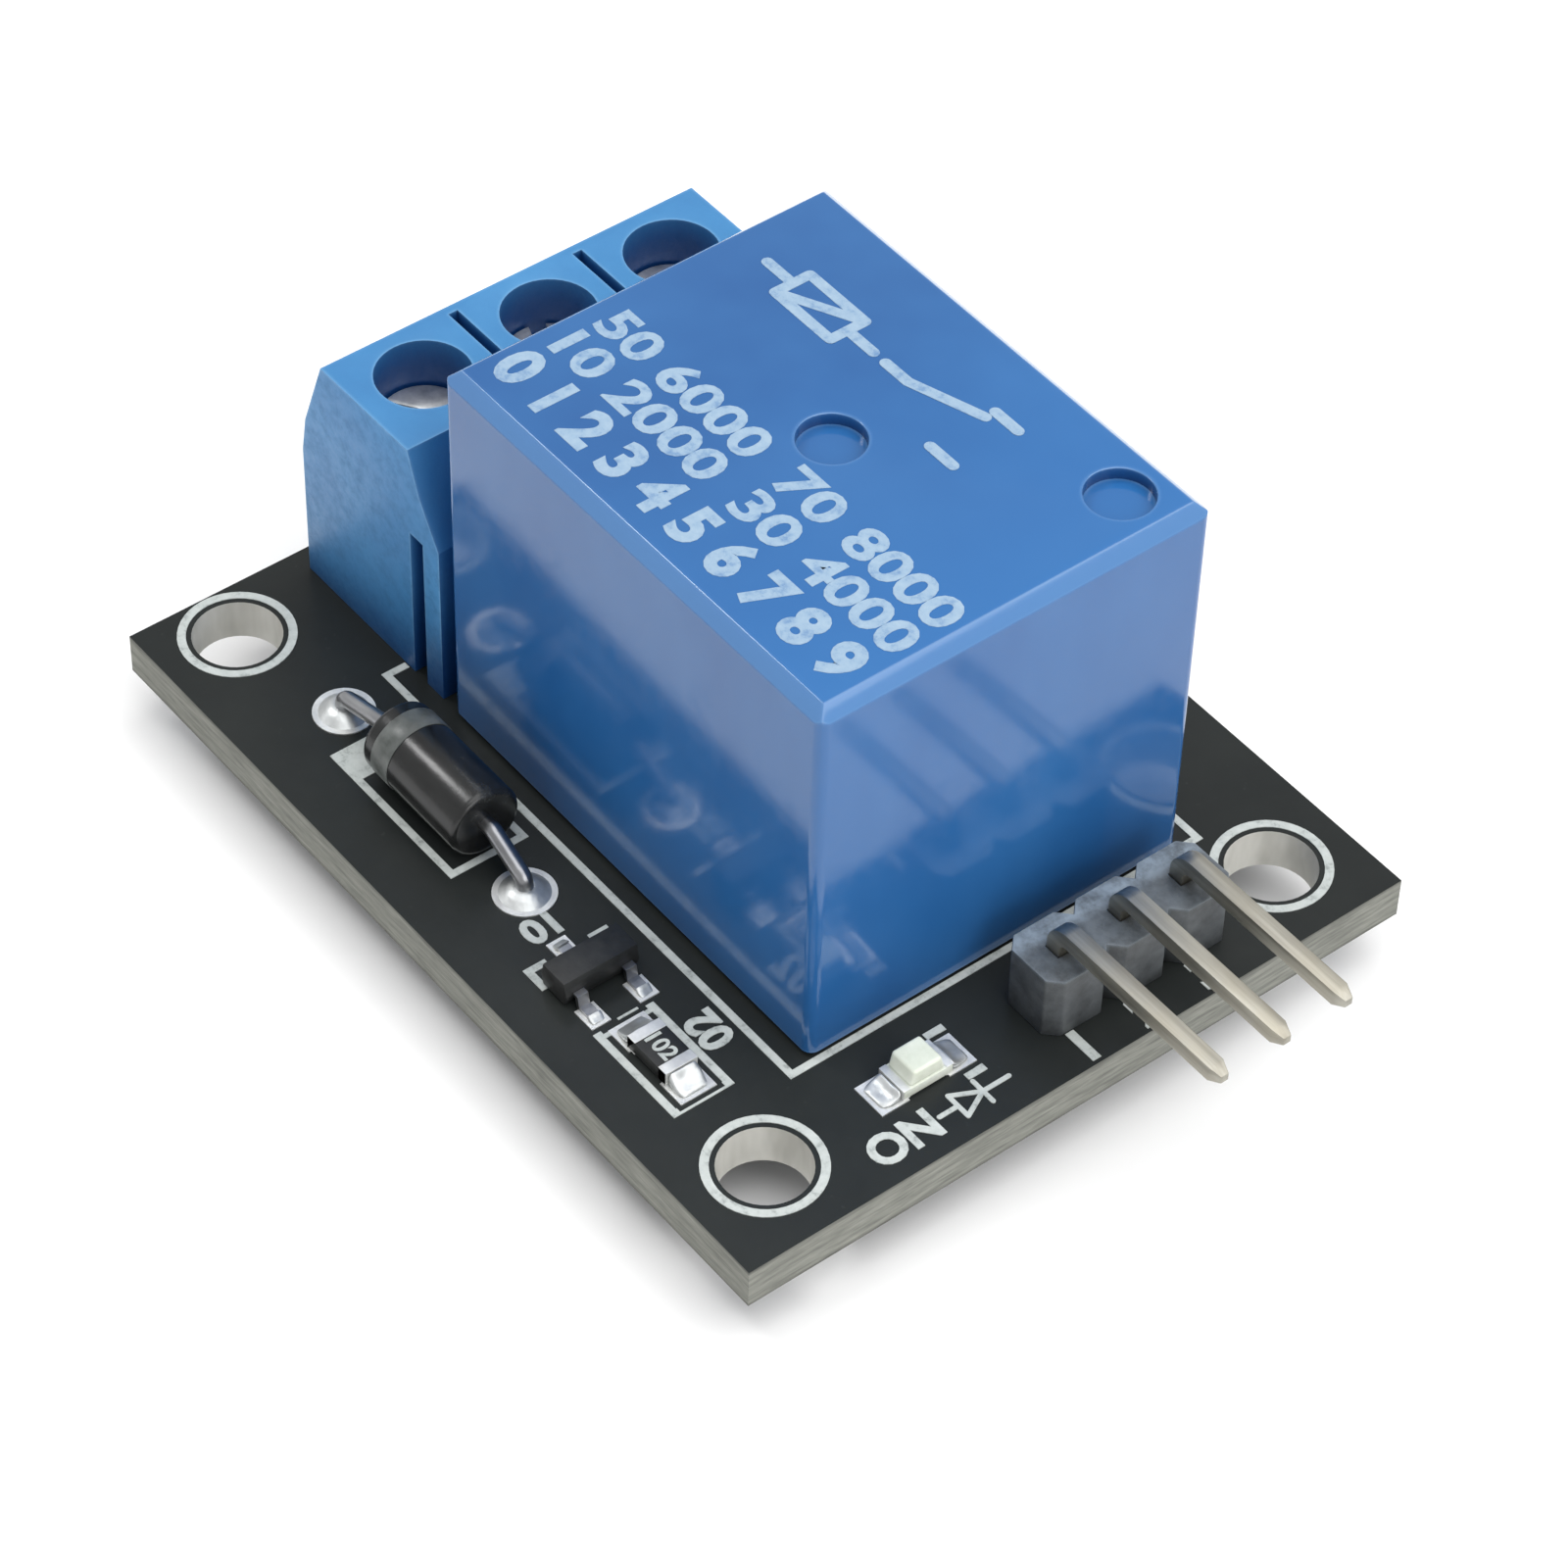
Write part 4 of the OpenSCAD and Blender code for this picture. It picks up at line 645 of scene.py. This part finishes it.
def make_bead(mesh):
    """Turn one wedge of solder into a rounded, slightly uneven bead in the same box."""
    low, high = reach(mesh)
    for cuts in BEAD_CUTS:
        bmesh.ops.subdivide_edges(mesh, edges=mesh.edges, cuts=cuts, use_grid_fill=True)
    for _ in range(BEAD_ROUNDS):
        bmesh.ops.smooth_vert(mesh, verts=mesh.verts, factor=0.5, use_axis_x=True,
                              use_axis_y=True, use_axis_z=True)
    mesh.normal_update()
    for v in mesh.verts:
        v.co += v.normal * SKIN_WANDER * MM * noise.noise(v.co * SKIN_SCALE)
    new_low, new_high = reach(mesh)
    for v in mesh.verts:
        for k in range(3):
            share = (v.co[k] - new_low[k]) / (new_high[k] - new_low[k])
            v.co[k] = low[k] + share * (high[k] - low[k])


def solder_shapes():
    """Cones round the leads with eased rims, and beads at the small parts' ends."""
    whole = clean_copy("solder_top")
    result = bmesh.new()
    for shell in islands(whole):
        part = bmesh.new()
        copies = {v: part.verts.new(v.co) for v in shell}
        for face in whole.faces:
            if face.verts[0] in copies:
                part.faces.new([copies[v] for v in face.verts])
        if len(shell) > WEDGE_CORNERS:
            ease(part, RIM_EASE, 3)
        else:
            bmesh.ops.triangulate(part, faces=part.faces)
            make_bead(part)
        split_wide_faces(part)
        kept = bpy.data.meshes.new("part")
        part.to_mesh(kept)
        part.free()
        result.from_mesh(kept)
        bpy.data.meshes.remove(kept)
    whole.free()
    bmesh.ops.recalc_face_normals(result, faces=result.faces)
    new_piece("solder_beads", result, SOLDER, smooth=60, stands_for=("solder_top",))


# ------------------------------------------------------------------ diode

# the body's edge radius, and the band's depth and bevel, in millimetres
DIODE_EDGE_R = 0.22
BAND_SEAT = 0.05
BAND_BEVEL = (0.01, 0.005)


def rounded(start, corner, end, radius, steps=5):
    """Points that round a right-angled profile corner."""
    a = (Vector(start) - Vector(corner)).normalized() * radius
    b = (Vector(end) - Vector(corner)).normalized() * radius
    points = []
    for k in range(steps + 1):
        t = math.pi / 2 * k / steps
        points.append(tuple(Vector(corner) + a * (1 - math.sin(t)) + b * (1 - math.cos(t))))
    return points


def turned(profile, centre, steps=64):
    """Body of revolution along +X: profile is (along, radius) in mm from the centre."""
    mesh = bmesh.new()
    along = Vector((1, 0, 0))
    side = along.orthogonal().normalized()
    other = along.cross(side)
    rings = []
    for distance, radius in profile:
        ring = []
        for k in range(steps):
            t = 2 * math.pi * k / steps
            out = side * math.cos(t) + other * math.sin(t)
            ring.append(mesh.verts.new(centre + along * distance * MM + out * radius * MM))
        rings.append(ring)
    sweep(mesh, rings)
    bmesh.ops.recalc_face_normals(mesh, faces=mesh.faces)
    return mesh


def diode_shapes():
    """Body and band turned with round edges."""
    low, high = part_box("diode_body")
    centre = Vector((low.x, (low.y + high.y) / 2, (low.z + high.z) / 2))
    length = (high.x - low.x) / MM
    radius = (high.y - low.y) / 2 / MM
    body = turned(rounded((0, 0), (0, radius), (length, radius), DIODE_EDGE_R)
                  + rounded((0, radius), (length, radius), (length, 0), DIODE_EDGE_R), centre)
    new_piece("diode_shell", body, LOOKS["diode_body"],
              stands_for=("diode_body",))

    band_low, band_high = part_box("diode_band")
    a, b = (band_low.x - low.x) / MM, (band_high.x - low.x) / MM
    skin = (band_high.y - band_low.y) / 2 / MM
    seat = radius - BAND_SEAT
    run, drop = BAND_BEVEL
    band = turned([(a, seat), (a, skin - drop), (a + run, skin),
                   (b - run, skin), (b, skin - drop), (b, seat)], centre)
    new_piece("diode_ring", band, LOOKS["diode_band"],
              stands_for=("diode_band",))


# ------------------------------------------------------------------ clamp screws

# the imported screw's plain shank and its head's height, in millimetres
SHANK_R = 1.25
HEAD_H = 0.9
# how wide the head's edges are eased, and how near a corner on the shank is to its
# radius, in millimetres
HEAD_EASE = 0.07
SHANK_PLAY = 0.02
# the thread cut in it, in millimetres
CORE_R = 1.0
CREST_R = 1.24
THREAD_PITCH = 0.45
THREAD_STARTS = 0.25
THREAD_STOPS = 0.15
# one turn's profile from its lower foot to its upper foot: half heights, and how deep
# the feet sit in the core
FOOT_HALF = 0.19
CREST_HALF = 0.02
FOOT_SUNK = 0.05


def cut_thread(mesh, x, y, start, end, steps=24):
    """A ridge that winds round the core from start to end and fades at both."""
    count = int((end - start) / (THREAD_PITCH * MM) * steps)
    rings = []
    for k in range(count + 1):
        t = 2 * math.pi * k / steps
        z = start + THREAD_PITCH * MM * k / steps
        fade = min(1, k / steps, (count - k) / steps)
        crest = CORE_R + (CREST_R - CORE_R) * max(fade, 0.02)
        foot = CORE_R - FOOT_SUNK
        profile = ((foot, -FOOT_HALF), (crest, -CREST_HALF), (crest, CREST_HALF),
                   (foot, FOOT_HALF))
        rings.append([mesh.verts.new((x + r * MM * math.cos(t), y + r * MM * math.sin(t),
                                      z + rise * MM)) for r, rise in profile])
    sweep(mesh, rings)


def screw_shapes():
    """Each clamp screw with an eased head and a cut thread on a thinner core."""
    for i in (1, 2, 3):
        node = f"terminal_screw_{i}"
        low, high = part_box(node)
        x, y = (low.x + high.x) / 2, (low.y + high.y) / 2
        head_low = high.z - HEAD_H * MM
        mesh = clean_copy(node)
        for v in mesh.verts:
            radius = math.hypot(v.co.x - x, v.co.y - y)
            on_shank = abs(radius - SHANK_R * MM) < SHANK_PLAY * MM
            if v.co.z < head_low + SAME and on_shank:
                v.co.x = x + (v.co.x - x) / radius * CORE_R * MM
                v.co.y = y + (v.co.y - y) / radius * CORE_R * MM
        ease(mesh, HEAD_EASE, 2, above=head_low + 0.1 * MM)
        split_wide_faces(mesh)
        cut_thread(mesh, x, y, low.z + THREAD_STARTS * MM, head_low - THREAD_STOPS * MM)
        bmesh.ops.recalc_face_normals(mesh, faces=mesh.faces)
        new_piece(f"clamp_screw_{i}", mesh, SCREW, f"screw_{i}",
                  stands_for=(node,))


# ------------------------------------------------------------------ print

# share of the built-in font's size that a capital takes
CAP_SHARE = 0.735
# how much each printed line is thicker than the one before, in millimetres, so that
# no two tops lie in one plane
LINE_STEP = 0.0009
# print thickness and line width on the board and on the cover, in millimetres
BOARD_INK = 0.03
BOARD_LINE = 0.17
COVER_INK = 0.015
COVER_LINE = 0.4
CHIP_INK = 0.02
# how far the middle of each mark stands off the side of the part it names, in millimetres
LAMP_GAP_X, LAMP_GAP_Y = 1.15, 0.98
PIN_GAP = 0.7
TRANSISTOR_GAP = 1.95
CHIP_GAP = 1.225
# how far the printed frame stands off the chip resistor, in millimetres
FRAME_GAP_X, FRAME_GAP_Y = 0.83, 0.42
# rows of numbers on the cover, in millimetres from its -X side and its middle line:
# the row's place, a capital's height, what it is fattened by, and each number with its
# start and end
COVER_ROWS = (
    (-5.65, 1.65, 0.1, (("0 1 2 3 4 5 6 7 8 9", 0.8, 18.1),)),
    (-3.72, 1.4, 0.06, (("10 2000", 1.15, 9.0), ("30", 10.2, 12.7), ("4000", 13.5, 18.3))),
    (-2.0, 1.4, 0.06, (("50 6000", 1.15, 9.0), ("70", 10.2, 12.7), ("8000", 13.5, 18.3))),
)


def letters(mesh, text, cap, x, y, z, ink, bold=0.06, turn=0, length=None):
    """Flat raised characters round a middle x, y, from height z in metres. In
    millimetres: cap is a capital's height, ink the print's thickness, bold what it is
    fattened by, and length what the text is stretched to."""
    curve = bpy.data.curves.new("text", "FONT")
    curve.body = text
    curve.size = cap / CAP_SHARE * MM
    curve.align_x = "CENTER"
    curve.align_y = "CENTER"
    curve.offset = bold * MM
    curve.extrude = ink * MM / 2
    curve.resolution_u = 4
    holder = bpy.data.objects.new("text", curve)
    bpy.context.scene.collection.objects.link(holder)
    bpy.context.view_layer.update()
    flat = bpy.data.meshes.new_from_object(holder)
    corners = [Vector(c) for c in holder.bound_box]
    middle = sum(corners, Vector()) / len(corners)
    wide = max(c.x for c in corners) - min(c.x for c in corners)
    stretch = length * MM / wide if length else 1
    flat.transform(Matrix.Translation((x * MM, y * MM, z + ink * MM / 2))
                   @ Matrix.Rotation(math.radians(turn), 4, "Z")
                   @ Matrix.Diagonal((stretch, 1, 1, 1)) @ Matrix.Translation(-middle))
    mesh.from_mesh(flat)
    bpy.data.objects.remove(holder)
    bpy.data.meshes.remove(flat)
    bpy.data.curves.remove(curve)


def strokes(mesh, lines, width, z, ink, steps=8):
    """Printed lines with round ends. Lines are lists of (x, y) in millimetres."""
    for line in lines:
        for a, b in zip(line, line[1:]):
            ink += LINE_STEP
            a, b = Vector(a), Vector(b)
            heading = math.atan2(b.y - a.y, b.x - a.x)
            outline = []
            for centre, turn in ((b, -math.pi / 2), (a, math.pi / 2)):
                for k in range(steps + 1):
                    t = heading + turn + math.pi * k / steps
                    outline.append(centre + Vector((math.cos(t), math.sin(t))) * width / 2)
            sweep(mesh, [[mesh.verts.new((p.x * MM, p.y * MM, height)) for p in outline]
                         for height in (z, z + ink * MM)])


def box_mm(name):
    """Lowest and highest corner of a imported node, in millimetres."""
    low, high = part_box(name)
    return low / MM, high / MM


def lamp_sign(mesh, x, start, top):
    """The usual sign for a lamp of this kind: a triangle on a line that ends in a bar."""
    foot, tip, end = start + 0.75, start + 1.75, start + 2.8
    half = 0.5
    strokes(mesh, [[(x, start), (x, foot)],
                   [(x, tip), (x, end)],
                   [(x - half, foot), (x + half, foot), (x, tip), (x - half, foot)],
                   [(x - half, tip), (x + half, tip)]], BOARD_LINE, top, BOARD_INK)


def board_marks():
    """ON and a lamp sign by the lamp, plain numbers by the pins and two small parts."""
    mesh = bmesh.new()
    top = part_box("board")[1].z
    lamp_low, lamp_high = box_mm("led_base")
    part_low, part_high = box_mm("transistor_body")
    chip_low, chip_high = box_mm("resistor_body")
    label_x = lamp_high.x + LAMP_GAP_X

    letters(mesh, "ON", 1.2, label_x, lamp_low.y - LAMP_GAP_Y, top, BOARD_INK, turn=90)
    letters(mesh, "01", 1.05, part_low.x - TRANSISTOR_GAP,
            (part_low.y + part_high.y) / 2 - 0.1, top, BOARD_INK, turn=90)
    letters(mesh, "02", 1.15, (chip_low.x + chip_high.x) / 2 - 0.05, chip_high.y + CHIP_GAP,
            top, BOARD_INK, turn=180)
    pin_x = box_mm("header_body")[1].x + PIN_GAP
    for i in (1, 2, 3):
        pin_low, pin_high = box_mm(f"header_pin_{i}")
        letters(mesh, str(i), 1.3, pin_x, (pin_low.y + pin_high.y) / 2 - 0.5, top, BOARD_INK,
                bold=0.08, turn=90)

    # the fourth side of the frame round the chip
    side_x = chip_low.x - FRAME_GAP_X
    strokes(mesh, [[(side_x, chip_low.y - FRAME_GAP_Y), (side_x, chip_high.y + FRAME_GAP_Y)]],
            BOARD_LINE, top, BOARD_INK + 0.004)
    lamp_sign(mesh, label_x, lamp_low.y + 0.47, top)
    new_piece("board_marks", mesh, LOOKS["silkscreen"])


def chip_marks():
    """Plain number on the chip resistor."""
    mesh = bmesh.new()
    low, high = box_mm("resistor_body")
    letters(mesh, "102", 0.62, (low.x + high.x) / 2, (low.y + high.y) / 2, high.z * MM,
            CHIP_INK, bold=0.02)
    new_piece("chip_marks", mesh, LOOKS["silkscreen"])


def diagram(mesh, x0, y0, top):
    """Coil and changeover contact, from the cover's -X side and its middle line."""
    left, right = x0 + 3.4, x0 + 6.2
    bottom, upper = y0 + 2.9, y0 + 4.3
    line_y = (bottom + upper) / 2
    wire, apart = 1.3, 1.1
    hinge, tip = x0 + 9.2, x0 + 11.9
    strokes(mesh, [
        [(left, bottom), (right, bottom), (right, upper), (left, upper), (left, bottom)],
        [(left, bottom), (right, upper)],
        [(left - wire, line_y), (left, line_y)],
        [(right, line_y), (right + wire, line_y)],
        [(hinge - apart, line_y), (hinge, line_y), (tip, line_y + 0.9)],
        [(tip, line_y + wire), (tip + apart, line_y + wire)],
        [(tip, line_y - wire), (tip + apart, line_y - wire)]], COVER_LINE, top, COVER_INK)


def cover_marks():
    """The cover's print: a coil and contact diagram over rows of plain numbers."""
    mesh = bmesh.new()
    low, high = box_mm("relay_cover")
    x0, y0, top = low.x, (low.y + high.y) / 2, high.z * MM
    diagram(mesh, x0, y0, top)
    for y, cap, bold, words in COVER_ROWS:
        for word, start, end in words:
            letters(mesh, word, cap, x0 + (start + end) / 2, y0 + y, top, COVER_INK,
                    bold=bold, length=end - start)
    new_piece("cover_marks", mesh, LOOKS["relay_print"],
              stands_for=("relay_print",))


# ------------------------------------------------------------------ studio

# each lamp's place and size in metres and its power in watts
LAMPS = {
    "key": ((0.13, 0.1, 0.45), (0.6, 0.6), 2.4),
    "side": ((0.45, -0.03, 0.2), (0.3, 0.2), 0.55),
    "back": ((-0.27, -0.14, 0.39), (0.09, 0.12), 0.5),
}
LAMPS_AIM = Vector((0, 0, 0.005))
WORLD_STRENGTH = 0.62
FLOOR_HALF = 2.0


def floor_white():
    m = Mat("floor_white")
    m.shader(Base_Color=(0.9, 0.9, 0.9, 1), Roughness=0.9)
    return m.mat


def add_floor():
    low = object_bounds()[0].z
    mesh = bmesh.new()
    corners = [mesh.verts.new((x * FLOOR_HALF, y * FLOOR_HALF, low))
               for x, y in ((-1, -1), (1, -1), (1, 1), (-1, 1))]
    mesh.faces.new(corners)
    data = bpy.data.meshes.new("floor")
    mesh.to_mesh(data)
    mesh.free()
    data.materials.append(floor_white())
    floor = bpy.data.objects.new("floor", data)
    bpy.context.scene.collection.objects.link(floor)


def add_light(name, place, size, power):
    data = bpy.data.lights.new(name, "AREA")
    data.shape = "RECTANGLE"
    data.size, data.size_y = size
    data.energy = power
    light = bpy.data.objects.new(name, data)
    bpy.context.scene.collection.objects.link(light)
    light.location = place
    light.rotation_euler = (LAMPS_AIM - Vector(place)).to_track_quat("-Z", "Y").to_euler()


def add_studio():
    add_floor()
    for name, (place, size, power) in LAMPS.items():
        add_light(name, place, size, power)
    world = bpy.data.worlds.new("world")
    world.use_nodes = True
    background = world.node_tree.nodes["Background"]
    background.inputs["Color"].default_value = (1, 1, 1, 1)
    background.inputs["Strength"].default_value = WORLD_STRENGTH
    bpy.context.scene.world = world
    bpy.context.scene.view_settings.view_transform = "Standard"


add_camera()
dress_nodes()
soften_parts()
solder_shapes()
diode_shapes()
screw_shapes()
board_marks()
chip_marks()
cover_marks()
add_studio()
